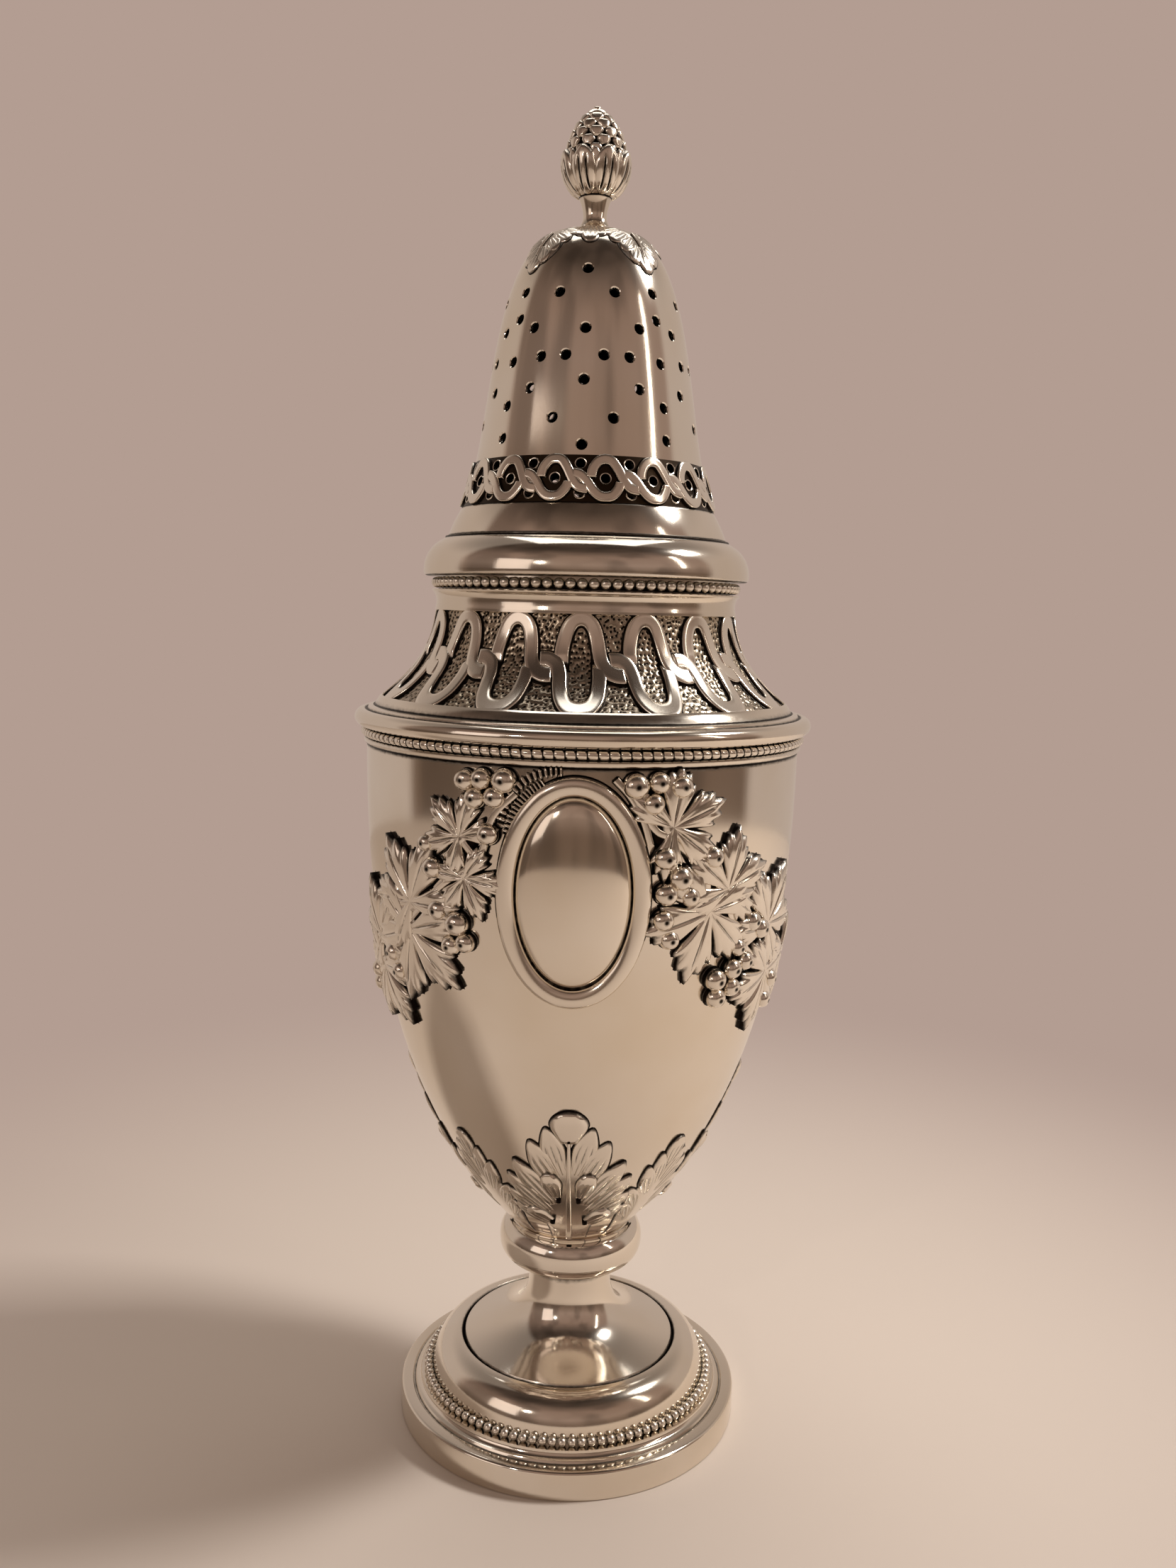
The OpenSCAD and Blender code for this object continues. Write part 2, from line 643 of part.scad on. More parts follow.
// Sugar holes of one quarter: degrees from the middle of the motif, share of the dome's height
diamond = [[0, 0.777], [17.5, 0.678], [0, 0.525], [10.5, 0.414], [0, 0.312], [15.5, 0.156], [0, 0.044]];
rosette = [[0, 0.694], [0, 0.58], [13, 0.534], [20, 0.411], [0, 0.4], [15, 0.282], [0, 0.216], [0, 0.08]];

module sugar_holes(pattern) {
  for (p = pattern) for (side = p[0] == 0 ? [0] : [-1, 1]) {
    rotate([0, 0, side * p[0]]) on_surface(dome_curve, dome_z + p[1] * dome_h)
      cylinder(d = hole_d, h = 4 * cover_wall, center = true, $fn = 24);
  }
}

module cover_dome() {
  inside = level_inset(dome_curve, cover_wall);
  roof_z = crown_z - cover_wall;
  hollow = [for (p = inside) if (p[1] < roof_z - 0.2) p];
  peg_hole = peg_r + solder_gap;
  roof_r = 1.2 * nut_r;
  color(bright) difference() {
    revolve(concat(dome_curve, [[peg_hole, crown_z], [peg_hole, roof_z], [roof_r, roof_z]],
      backwards(hollow)));
    for (q = [0:3]) rotate([0, 0, cover_turn + 90 * q]) {
      sugar_holes(diamond);
      rotate([0, 0, 45]) sugar_holes(rosette);
    }
  }
}

module cover_crown_leaves() {
  reach = crown_r + 0.4;
  color(warm) for (q = [0:3]) rotate([0, 0, cover_turn + 45 + 90 * q]) applied(dome_curve, crown_leaf_t)
    translate([0, -reach, crown_z - dome_h / 3]) mirror([0, 1, 0]) linear_extrude(dome_h / 2)
      polygon(leaf_outline(crown_leaf_w, crown_leaf_l));
}

// Turned stem of the finial, with the peg that goes down through the crown
module finial_stem() {
  base_r = crown_r - 0.3;
  waist_z = crown_z + 0.6 * finial_stem_h;
  peg_end = 0.6;
  peg_z = crown_z - cover_wall - nut_h - peg_end;
  color(bright) revolve(concat([[0, peg_z], [peg_r, peg_z], [peg_r, crown_z]],
    curve([base_r, crown_z], [finial_stem_r, crown_z + 0.1 * finial_stem_h],
      [finial_stem_r, crown_z + 0.3 * finial_stem_h], [finial_stem_r, waist_z], 5),
    curve([finial_stem_r, waist_z + 0.04 * finial_stem_h], [finial_stem_r, waist_z + 0.2 * finial_stem_h],
      [calyx_foot_r, calyx_z - 0.16 * finial_stem_h], [calyx_foot_r, calyx_z], 4), [[0, calyx_z]]));
}

// Cup of pointed leaves that holds the cone
module finial_calyx() {
  rim = calyx_z + finial_calyx_h;
  bore = cone_r + solder_gap;
  lip = 0.15;
  notch_z = rim - 0.4 * finial_calyx_h;
  notch_w = 0.75 * PI * finial_r / finial_leaves;
  color(warm) difference() {
    revolve(concat([[0, calyx_z]],
      curve([calyx_foot_r, calyx_z], [0.73 * finial_r, calyx_z + 0.13 * finial_calyx_h],
        [finial_r, calyx_z + 0.4 * finial_calyx_h], [finial_r, calyx_z + 0.7 * finial_calyx_h], 6),
      [[bore + lip, rim], [bore, rim], [bore, cone_seat_z + cone_seat_h],
        [bore - cone_seat_w, cone_seat_z], [0, cone_seat_z]]));
    for (i = [0:finial_leaves - 1]) rotate([0, 0, 360 * (i + 0.5) / finial_leaves])
      outwards(0.9 * cone_r, 2 * finial_r)
        polygon([[0, notch_z], [notch_w, rim + notch_w / 2], [-notch_w, rim + notch_w / 2]]);
  }
}

// Cone with rows of scales, seated in the calyx
module finial_cone() {
  base_z = cone_seat_z + solder_gap;
  base_r = cone_r - cone_seat_w;
  scale_step = 0.22;
  rows = [for (i = [0:len(cone_curve) - 2])
    each [cone_curve[i], (cone_curve[i] + cone_curve[i + 1]) / 2 + [scale_step, 0]]];
  top = cone_curve[len(cone_curve) - 1];
  color(bright) revolve(concat([[0, base_z], [base_r - solder_gap, base_z],
    [cone_r - 2 * solder_gap, base_z + cone_seat_h]], rows, [top, [0, top[1]]]));
}

module finial_nut() {
  color(dark) translate([0, 0, crown_z - cover_wall - nut_h]) difference() {
    cylinder(r = nut_r, h = nut_h, $fn = 6);
    translate([0, 0, -nut_h]) cylinder(r = peg_r + solder_gap, h = 3 * nut_h);
  }
}

foot_plinth();
foot_bead_wire();
foot_dome();
stem_knop();
bowl();
calyx_large_leaves();
calyx_small_leaves();
front_medallion_frame();
front_medallion_boss();
back_medallion_frame();
back_medallion_boss();
left_vine_leaves();
left_vine_grapes();
left_vine_branch();
right_vine_leaves();
right_vine_grapes();
right_vine_branch();
rim_moulding();
rim_milled_wire();
shoulder();
shoulder_guilloche();
neck_bead_wire();
neck_bezel();
cover_flange();
cover_cove();
cover_pierced_band();
cover_band_straps();
cover_dome();
cover_crown_leaves();
finial_stem();
finial_calyx();
finial_cone();
finial_nut();
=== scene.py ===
"""Looks of a vase-shaped silver sugar caster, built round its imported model.

Sizes are millimetres in the fields below and metres in the meshes. +Z is up and the front medallion faces -Y.
A place on a turned surface is given as degrees round the axis, 0 at the front and growing towards +X, and as
a height. Each profile is a list of radius and height, from the underside up the outside and down the inside.
"""

import logging
import math
from dataclasses import dataclass, field, replace
from enum import Enum
from typing import Callable, ClassVar, Sequence

import bpy
import numpy as np
from mathutils import Matrix, Vector


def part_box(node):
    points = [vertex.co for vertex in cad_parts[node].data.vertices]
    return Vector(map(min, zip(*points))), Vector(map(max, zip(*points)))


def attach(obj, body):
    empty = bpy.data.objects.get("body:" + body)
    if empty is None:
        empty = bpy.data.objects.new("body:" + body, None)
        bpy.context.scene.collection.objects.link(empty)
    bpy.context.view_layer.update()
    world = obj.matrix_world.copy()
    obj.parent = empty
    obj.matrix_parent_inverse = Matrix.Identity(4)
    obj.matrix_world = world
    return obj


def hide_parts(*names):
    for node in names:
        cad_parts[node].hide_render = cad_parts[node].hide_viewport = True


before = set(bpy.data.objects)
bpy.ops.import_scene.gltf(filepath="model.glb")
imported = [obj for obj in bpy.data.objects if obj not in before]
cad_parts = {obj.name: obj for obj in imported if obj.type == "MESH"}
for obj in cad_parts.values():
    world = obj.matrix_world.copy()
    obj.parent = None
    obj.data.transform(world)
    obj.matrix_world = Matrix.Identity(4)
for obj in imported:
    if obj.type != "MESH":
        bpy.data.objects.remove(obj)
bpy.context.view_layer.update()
LOG = logging.getLogger("caster")
MM = 0.001
# Points of a piece that lie closer than this become one
WELD = 0.001 * MM
# Edges sharper than these stay crisp on a turned piece, and on one that was drilled
TURNED_CREASE = math.radians(38)
DRILLED_CREASE = math.radians(30)
# Radii of the rings round a round blank, whose edge lies at 1: foot of its wall, and its skirt, painted dark
# as a shadow line with patina
WALL_RING, SKIRT_RING = 1.1, 1.2
# Least distance from the middle that is divided by
TINY = 1e-9
# A strip that dips under another stays this far off the metal, and gets a painted shadow between these depths
LEAST_LIFT = 0.02
DIP_SHADOW, DIP_FROM, DIP_TO = 0.8, 0.15, 0.36

Array = np.ndarray
Point = tuple[float, float]
Row = tuple[float, float, float]
Section = Sequence[Row]
Piece = bpy.types.Object
Socket = bpy.types.NodeSocket
Laid = tuple[Array, Array]
Shaper = Callable[[Array, Array], Laid]


class Body(Enum):
    """The two bodies that pieces ride on."""

    VASE = "body"
    COVER = "cover"


class Slot(Enum):
    """The record's material slots, passed along with new pieces but not set on them."""

    POLISHED = "polished_silver"
    CHASED = "chased_silver"
    BEADED = "beaded_silver"
    PIERCED = "pierced_silver"


def levels(node: str) -> Point:
    """Gives the lowest and highest level of a CAD node.

    Args:
        node: name of the node.
    Returns:
        The two heights in millimetres.
    """
    low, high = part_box(node)
    return low.z / MM, high.z / MM


def reach(node: str) -> float:
    """Largest radius of a turned CAD node, in millimetres."""
    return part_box(node)[1].x / MM


# Curves and turned surfaces


def bezier(a: Point, b: Point, c: Point, d: Point, steps: int) -> list[Point]:
    """Points on a cubic curve, both ends included.

    Args:
        a, b, c, d: start, two handles and end, as radius and height.
        steps: number of stretches.
    Returns:
        The points in order.
    """
    t = np.linspace(0.0, 1.0, steps + 1)[:, None]
    s = 1.0 - t
    near, far = 3 * s * s * t, 3 * s * t * t
    curve = s**3 * np.array(a) + near * np.array(b) + far * np.array(c) + t**3 * np.array(d)
    return [(float(r), float(z)) for r, z in curve]


def arc(middle: Point, radius: float, start: float, end: float, steps: int) -> list[Point]:
    """Points on an arc.

    Args:
        middle: centre of the arc, as radius and height.
        radius: its radius.
        start, end: angles in degrees, counted from straight out.
        steps: number of stretches.
    Returns:
        The points in order.
    """
    turns = np.radians(np.linspace(start, end, steps + 1))
    return [(middle[0] + radius * math.cos(a), middle[1] + radius * math.sin(a)) for a in turns]


def shell(points: Sequence[Point], wall: float) -> list[Point]:
    """Closes an outline that runs upwards into a wall.

    Args:
        points: the outside, from bottom to top.
        wall: thickness of the metal.
    Returns:
        The outside followed by the inside, level with it at both ends.
    """
    p = np.array(points)
    d = np.gradient(p, axis=0)
    d /= np.linalg.norm(d, axis=1)[:, None]
    inside = p + wall * np.stack([-d[:, 1], d[:, 0]], axis=1)
    inside[0, 1], inside[-1, 1] = p[0, 1], p[-1, 1]
    return list(points) + [(float(r), float(z)) for r, z in inside[::-1]]


def flowing(points: Sequence[Point], count: int) -> Array:
    """A smooth line through a few given points.

    Args:
        points: the points that it passes through.
        count: number of points on the smooth line.
    Returns:
        The smooth line's points, one in each row.
    """
    p = np.array(points, float)
    p = np.vstack([2 * p[0] - p[1], p, 2 * p[-1] - p[-2]])
    at = np.linspace(0.0, len(points) - 1.001, count)
    i = at.astype(int)
    t = (at - i)[:, None]
    a, b, c, d = p[i], p[i + 1], p[i + 2], p[i + 3]
    return 0.5 * (2 * b + (c - a) * t + (2 * a - 5 * b + 4 * c - d) * t**2 + (3 * b - a - 3 * c + d) * t**3)


def step(low: float, high: float, x: Array) -> Array:
    """Rises smoothly from 0 at low to 1 at high."""
    t = np.clip((x - low) / (high - low), 0.0, 1.0)
    return t * t * (3 - 2 * t)


class Surface:
    """A turned surface that ornament is laid on."""

    def __init__(self, points: Sequence[Point]) -> None:
        """Keeps the outline.

        Args:
            points: the outline from bottom to top, as radius and height.
        """
        p = np.array(points, float)
        self.r, self.z = p[:, 0], p[:, 1]
        self.s = np.concatenate([[0.0], np.cumsum(np.hypot(np.diff(self.r), np.diff(self.z)))])
        slope = np.gradient(p, self.s, axis=0)
        self.out = np.stack([slope[:, 1], -slope[:, 0]], axis=1)

    def along(self, z: float | Array) -> Array:
        """Distance along the outline at a height."""
        return np.interp(z, self.z, self.s)

    def radius(self, s: float | Array) -> Array:
        """Radius at a distance along the outline."""
        return np.interp(s, self.s, self.r)

    def facing(self, s: float | Array) -> Laid:
        """How far the surface faces outwards and upwards at a distance along the outline."""
        return np.interp(s, self.s, self.out[:, 0]), np.interp(s, self.s, self.out[:, 1])

    def lay(self, turn: Array, s: Array, lift: Array) -> Array:
        """Places points on the surface.

        Args:
            turn: angles round the axis, in radians.
            s: distances along the outline.
            lift: heights off the surface.
        Returns:
            Their places in metres, one in each row.
        """
        outwards, upwards = self.facing(s)
        r, z = self.radius(s) + lift * outwards, np.interp(s, self.s, self.z) + lift * upwards
        return MM * np.stack([r * np.sin(turn), -r * np.cos(turn), z], axis=1)

    def spread(self, start: Point, x: Array, y: Array, lift: Array) -> Array:
        """Lays a flat plan on the surface.

        Args:
            start: degrees and height of the plan's own zero point.
            x, y: the plan, in millimetres round the axis and up the outline.
            lift: heights off the surface.
        Returns:
            Places in metres, one in each row.
        """
        s = self.along(start[1]) + y
        return self.lay(math.radians(start[0]) + x / self.radius(s), s, lift)

    def between(self, start: Point, end: Point) -> Point:
        """Millimetres round the axis and up the outline from one place to another."""
        low, high = self.along(start[1]), self.along(end[1])
        return math.radians(end[0] - start[0]) * float(self.radius((low + high) / 2)), float(high - low)

    def seat(self, place: Point) -> Matrix:
        """Finds how a thing stands on the surface.

        Args:
            place: degrees and height.
        Returns:
            A matrix whose own Z points straight off the surface there.
        """
        turn, s = math.radians(place[0]), self.along(place[1])
        outwards, upwards = self.facing(s)
        normal = Vector((outwards * math.sin(turn), -outwards * math.cos(turn), upwards))
        there = Vector(self.lay(np.array([turn]), np.array([s]), np.zeros(1))[0])
        return Matrix.Translation(there) @ normal.to_track_quat("Z", "Y").to_matrix().to_4x4()


# Modelling steps


def fresh() -> None:
    """Leaves nothing selected, so that the next operator acts on the new piece alone."""
    bpy.ops.object.select_all(action="DESELECT")


def pick(*pieces: Piece) -> None:
    """Selects these pieces alone and makes the first one active.

    Args:
        pieces: the pieces.
    """
    fresh()
    for piece in pieces:
        piece.select_set(True)
    bpy.context.view_layer.objects.active = pieces[0]


def named(piece: Piece, name: str) -> Piece:
    """Names a piece and its mesh."""
    piece.name = piece.data.name = name
    return piece


def corners(piece: Piece) -> Array:
    """Reads a mesh's vertex places.

    Args:
        piece: the mesh object.
    Returns:
        One place in each row.
    """
    places = np.empty(len(piece.data.vertices) * 3)
    piece.data.vertices.foreach_get("co", places)
    return places.reshape(-1, 3)


def move(piece: Piece, places: Array) -> None:
    """Puts every vertex in its place."""
    piece.data.vertices.foreach_set("co", np.ascontiguousarray(places, dtype=float).ravel())
    piece.data.update()


def paint_patina_and_shade(piece: Piece, values: Array) -> None:
    """Keeps on each vertex how dark its patina and painted shade lie, from 0 to 1."""
    layer = piece.data.attributes.get("patina_and_shade") or piece.data.attributes.new("patina_and_shade", "FLOAT", "POINT")
    layer.data.foreach_set("value", np.clip(values, 0.0, 1.0).astype(np.float32))


def disc(sides: int, rings: int) -> Piece:
    """Models a round blank: a circle inset ring by ring, with two more rings outside for a wall and a skirt.

    Args:
        sides: number of sides.
        rings: number of rings inside the edge.
    Returns:
        The blank, 1 m in radius to its edge, which shaping then gives its real size.
    """
    fresh()
    bpy.ops.mesh.primitive_circle_add(vertices=sides, radius=1.0, fill_type="NGON")
    blank = bpy.context.object
    bpy.ops.object.mode_set(mode="EDIT")
    bpy.ops.mesh.select_mode(type="FACE")
    bpy.ops.mesh.select_all(action="SELECT")
    for _ in range(rings):
        bpy.ops.mesh.inset(thickness=1.0 / (rings + 1))
    bpy.ops.mesh.poke()
    bpy.ops.mesh.select_mode(type="EDGE")
    bpy.ops.mesh.select_all(action="DESELECT")
    bpy.ops.mesh.select_non_manifold()
    for grown in (WALL_RING, SKIRT_RING):
        bpy.ops.mesh.extrude_edges_move()
        bpy.ops.transform.resize(value=(grown, grown, 1.0), center_override=(0.0, 0.0, 0.0))
    bpy.ops.object.mode_set(mode="OBJECT")
    return blank


def strip(along: int, across: int, name: str = "blank") -> Piece:
    """Models a flat blank with rows along it.

    Args:
        along: number of stretches along it.
        across: number of stretches across it.
        name: its name.
    Returns:
        The blank, 2 m square, which shaping then gives its real size.
    """
    fresh()
    bpy.ops.mesh.primitive_grid_add(x_subdivisions=along, y_subdivisions=across, size=2.0)
    return named(bpy.context.object, name)


def cell(flat: Array, count: int) -> Array:
    """Number of the row that each point of a flat blank lies in, of so many rows."""
    return np.rint((flat + 1) / 2 * (count - 1)).astype(int)


def copied(blank: Piece, name: str) -> Piece:
    """Copies a blank.

    Args:
        blank: what is copied.
        name: the copy's name.
    Returns:
        The copy, with a mesh of its own.
    """
    piece = bpy.data.objects.new(name, blank.data.copy())
    bpy.context.scene.collection.objects.link(piece)
    return piece


def shaped(piece: Piece, shaper: Shaper) -> Piece:
    """Shapes a blank.

    Args:
        piece: the blank.
        shaper: turns its flat x and y into places and darkness, of painted shade and patina.
    Returns:
        The same piece.
    """
    flat = corners(piece)
    places, patina_and_shade_values = shaper(flat[:, 0], flat[:, 1])
    move(piece, places)
    paint_patina_and_shade(piece, patina_and_shade_values)
    pick(piece)
    bpy.ops.object.shade_smooth()
    return piece


def closed(piece: Piece) -> Piece:
    """Joins the ends of a strip that was bent to a ring.

    Args:
        piece: the strip.
    Returns:
        The same piece.
    """
    pick(piece)
    bpy.ops.object.mode_set(mode="EDIT")
    bpy.ops.mesh.select_all(action="SELECT")
    bpy.ops.mesh.remove_doubles(threshold=WELD)
    bpy.ops.object.mode_set(mode="OBJECT")
    return piece


def joined(pieces: Sequence[Piece], name: str) -> Piece:
    """Joins pieces into one.

    Args:
        pieces: the pieces, which are used up.
        name: the new piece's name.
    Returns:
        The joined piece.
    """
    pick(*pieces)
    if len(pieces) > 1:
        bpy.ops.object.join()
    return named(bpy.context.object, name)


def applied(piece: Piece, kind: str, **settings: object) -> Piece:
    """Adds a modifier and applies it.

    Args:
        piece: the piece.
        kind: Blender's name for the modifier.
        settings: what is set on it.
    Returns:
        The same piece.
    """
    modifier = piece.modifiers.new(kind.title(), kind)
    for key, value in settings.items():
        setattr(modifier, key, value)
    bpy.context.view_layer.update()
    pick(piece)
    bpy.ops.object.modifier_apply(modifier=modifier.name)
    return piece


def ring_of(piece: Piece, count: int) -> Piece:
    """Repeats a piece round the axis.

    Args:
        piece: the first one.
        count: how many there are round the axis.
    Returns:
        The same piece, with all of them in its mesh.
    """
    turn = bpy.data.objects.new("turn", None)
    bpy.context.scene.collection.objects.link(turn)
    turn.rotation_euler.z = 2 * math.pi / count
    spacing = {"use_relative_offset": False, "use_object_offset": True, "offset_object": turn}
    applied(piece, "ARRAY", count=count, **spacing)
    bpy.data.objects.remove(turn)
    return piece


def turned(piece: Piece, degrees: float) -> Piece:
    """Turns a piece's mesh round the axis."""
    piece.data.transform(Matrix.Rotation(math.radians(degrees), 4, "Z"))
    return piece


def lathe(name: str, profile: Sequence[Point], dark: Section = (), steps: int = 256) -> Piece:
    """Turns a piece: a closed profile is set up as a ring of points and spun round the axis.

    Args:
        name: the piece's name.
        profile: radius and height of each point, in order round the metal.
        dark: turned lines painted dark with shade and patina, as radius, height and width.
        steps: number of stretches round the axis.
    Returns:
        The turned piece.
    """
    fresh()
    bpy.ops.mesh.primitive_circle_add(vertices=len(profile), radius=1.0, fill_type="NOTHING")
    piece = named(bpy.context.object, name)
    move(piece, np.array([(r * MM, 0.0, z * MM) for r, z in profile]))
    bpy.ops.object.mode_set(mode="EDIT")
    bpy.ops.mesh.select_all(action="SELECT")
    bpy.ops.mesh.spin(steps=steps, angle=2 * math.pi, center=(0, 0, 0), axis=(0, 0, 1))
    bpy.ops.mesh.select_all(action="SELECT")
    bpy.ops.mesh.remove_doubles(threshold=WELD)
    bpy.ops.mesh.delete_loose()
    bpy.ops.mesh.select_all(action="SELECT")
    bpy.ops.mesh.normals_make_consistent(inside=False)
    bpy.ops.object.mode_set(mode="OBJECT")
    bpy.ops.object.shade_smooth_by_angle(angle=TURNED_CREASE)
    places = corners(piece) / MM
    r, z = np.hypot(places[:, 0], places[:, 1]), places[:, 2]
    patina_and_shade_values = np.zeros(len(r))
    # Each turned line is painted dark, as shade with patina, fading off over its width
    for ring_r, ring_z, width in dark:
        patina_and_shade_values = np.maximum(patina_and_shade_values, np.exp(-((r - ring_r) ** 2 + (z - ring_z) ** 2) / width**2))
    paint_patina_and_shade(piece, patina_and_shade_values)
    return piece


def swept(
    name: str,
    surface: Surface,
    path: Array,
    section: Section,
    sink: Array | float = 0.0,
    swell: Array | float = 1.0,
    level: bool = False,
) -> Piece:
    """Lays a strip of one section along a line on a turned surface.

    Args:
        name: the piece's name.
        surface: what it lies on.
        path: degrees and height of each point of its middle line.
        section: its section from the right edge to the left, as offset, lift and darkness of patina and
            painted shade.
        sink: how far it dips at each point.
        swell: how much wider it is at each point.
        level: whether its width is measured in heights instead of along the outline.
    Returns:
        The laid strip.
    """
    count = len(path)
    blank = strip(count - 1, len(section) - 1, name)
    turn, s = np.radians(path[:, 0]), surface.along(path[:, 1])
    rise = path[:, 1] if level else s
    ahead = np.stack([surface.radius(s) * np.gradient(turn), np.gradient(rise)], axis=1)
    ahead /= np.linalg.norm(ahead, axis=1)[:, None]
    rows = np.array(section)
    sunk, wide = np.broadcast_to(sink, count), np.broadcast_to(swell, count)

    def shaper(x: Array, y: Array) -> Laid:
        """Finds each vertex's row and column and lays it.

        Args:
            x, y: the flat blank.
        Returns:
            Places and darkness.
        """
        i = cell(x, count)
        offset, lift, dark = rows[cell(y, len(rows))].T
        off = offset * wide[i]
        there = rise[i] + off * ahead[i, 0]
        there = surface.along(there) if level else there
        bent = turn[i] - off * ahead[i, 1] / surface.radius(there)
        lift = np.where(lift > 0, np.maximum(lift - sunk[i], LEAST_LIFT), lift)
        # A strip is painted darker where it dips, a painted shadow of the strip above it
        return surface.lay(bent, there, lift), np.maximum(dark, DIP_SHADOW * step(DIP_FROM, DIP_TO, sunk[i]))

    return shaped(blank, shaper)


def strap_section(width: float, lift: float, skirt: float = 0.22) -> list[Row]:
    """Section of a flat strap with rounded edges, and patina with painted shade along its foot.

    Args:
        width: its width.
        lift: its thickness.
        skirt: width of the painted shadow line beside it.
    Returns:
        Offset, lift and darkness of patina and painted shade of each row, from one edge to the other.
    """
    half = width / 2
    # From the painted shadow line beside it, past the painted shade on its rounded edge, to its flat top
    side = [(half + skirt, -0.03, 0.7), (half + 0.04, 0.03, 1.0), (half, 0.5 * lift, 0.75)]
    side += [(half * 0.94, 0.84 * lift, 0.1), (half * 0.82, 0.98 * lift, 0.0), (half * 0.4, lift, 0.0)]
    return [(-x, h, d) for x, h, d in side] + [(0.0, lift, 0.0)] + side[::-1]


# Chased ornament


class Rings:
    """Points of a round blank, sorted into its face, its wall and its skirt."""

    def __init__(self, x: Array, y: Array) -> None:
        """Measures the points.

        Args:
            x, y: the flat blank, with its edge at 1.
        """
        self.r = np.hypot(x, y)
        self.inner = np.minimum(self.r, 1.0)
        self.way = x / np.maximum(self.r, TINY), y / np.maximum(self.r, TINY)
        self.x, self.y = self.way[0] * self.inner, self.way[1] * self.inner
        self.wall = self.r > (1.0 + WALL_RING) / 2
        self.skirt = np.where(self.r > (WALL_RING + SKIRT_RING) / 2, 1.0, 0.0)
        # The wall's foot stands a little off the metal and the skirt dips a little into it
        self.foot = 0.05 - 0.09 * self.skirt


class Aim:
    """A line on a turned surface that a flat plan is laid along."""

    def __init__(self, surface: Surface, start: Point, end: Point) -> None:
        """Measures the line.

        Args:
            surface: what it lies on.
            start, end: degrees and height of its ends.
        """
        self.surface, self.start = surface, start
        dx, dy = surface.between(start, end)
        self.length = math.hypot(dx, dy)
        self.ux, self.uy = dx / self.length, dy / self.length

    def spread(self, ahead: Array, across: Array, lift: Array) -> Array:
        """Lays a plan.

        Args:
            ahead: millimetres along the line.
            across: millimetres to its right.
            lift: heights off the surface.
        Returns:
            Places in metres, one in each row.
        """
        x, y = self.ux * ahead + self.uy * across, self.uy * ahead - self.ux * across
        return self.surface.spread(self.start, x, y, lift)


@dataclass(frozen=True)
class Lobe:
    """One lobe of an acanthus leaf, with flutes of some depth and an end between round, 0, and pointed, 1."""

    base: Point
    tip: Point
    width: float
    lift: float
    groove: float = 0.28
    point: float = 0.0


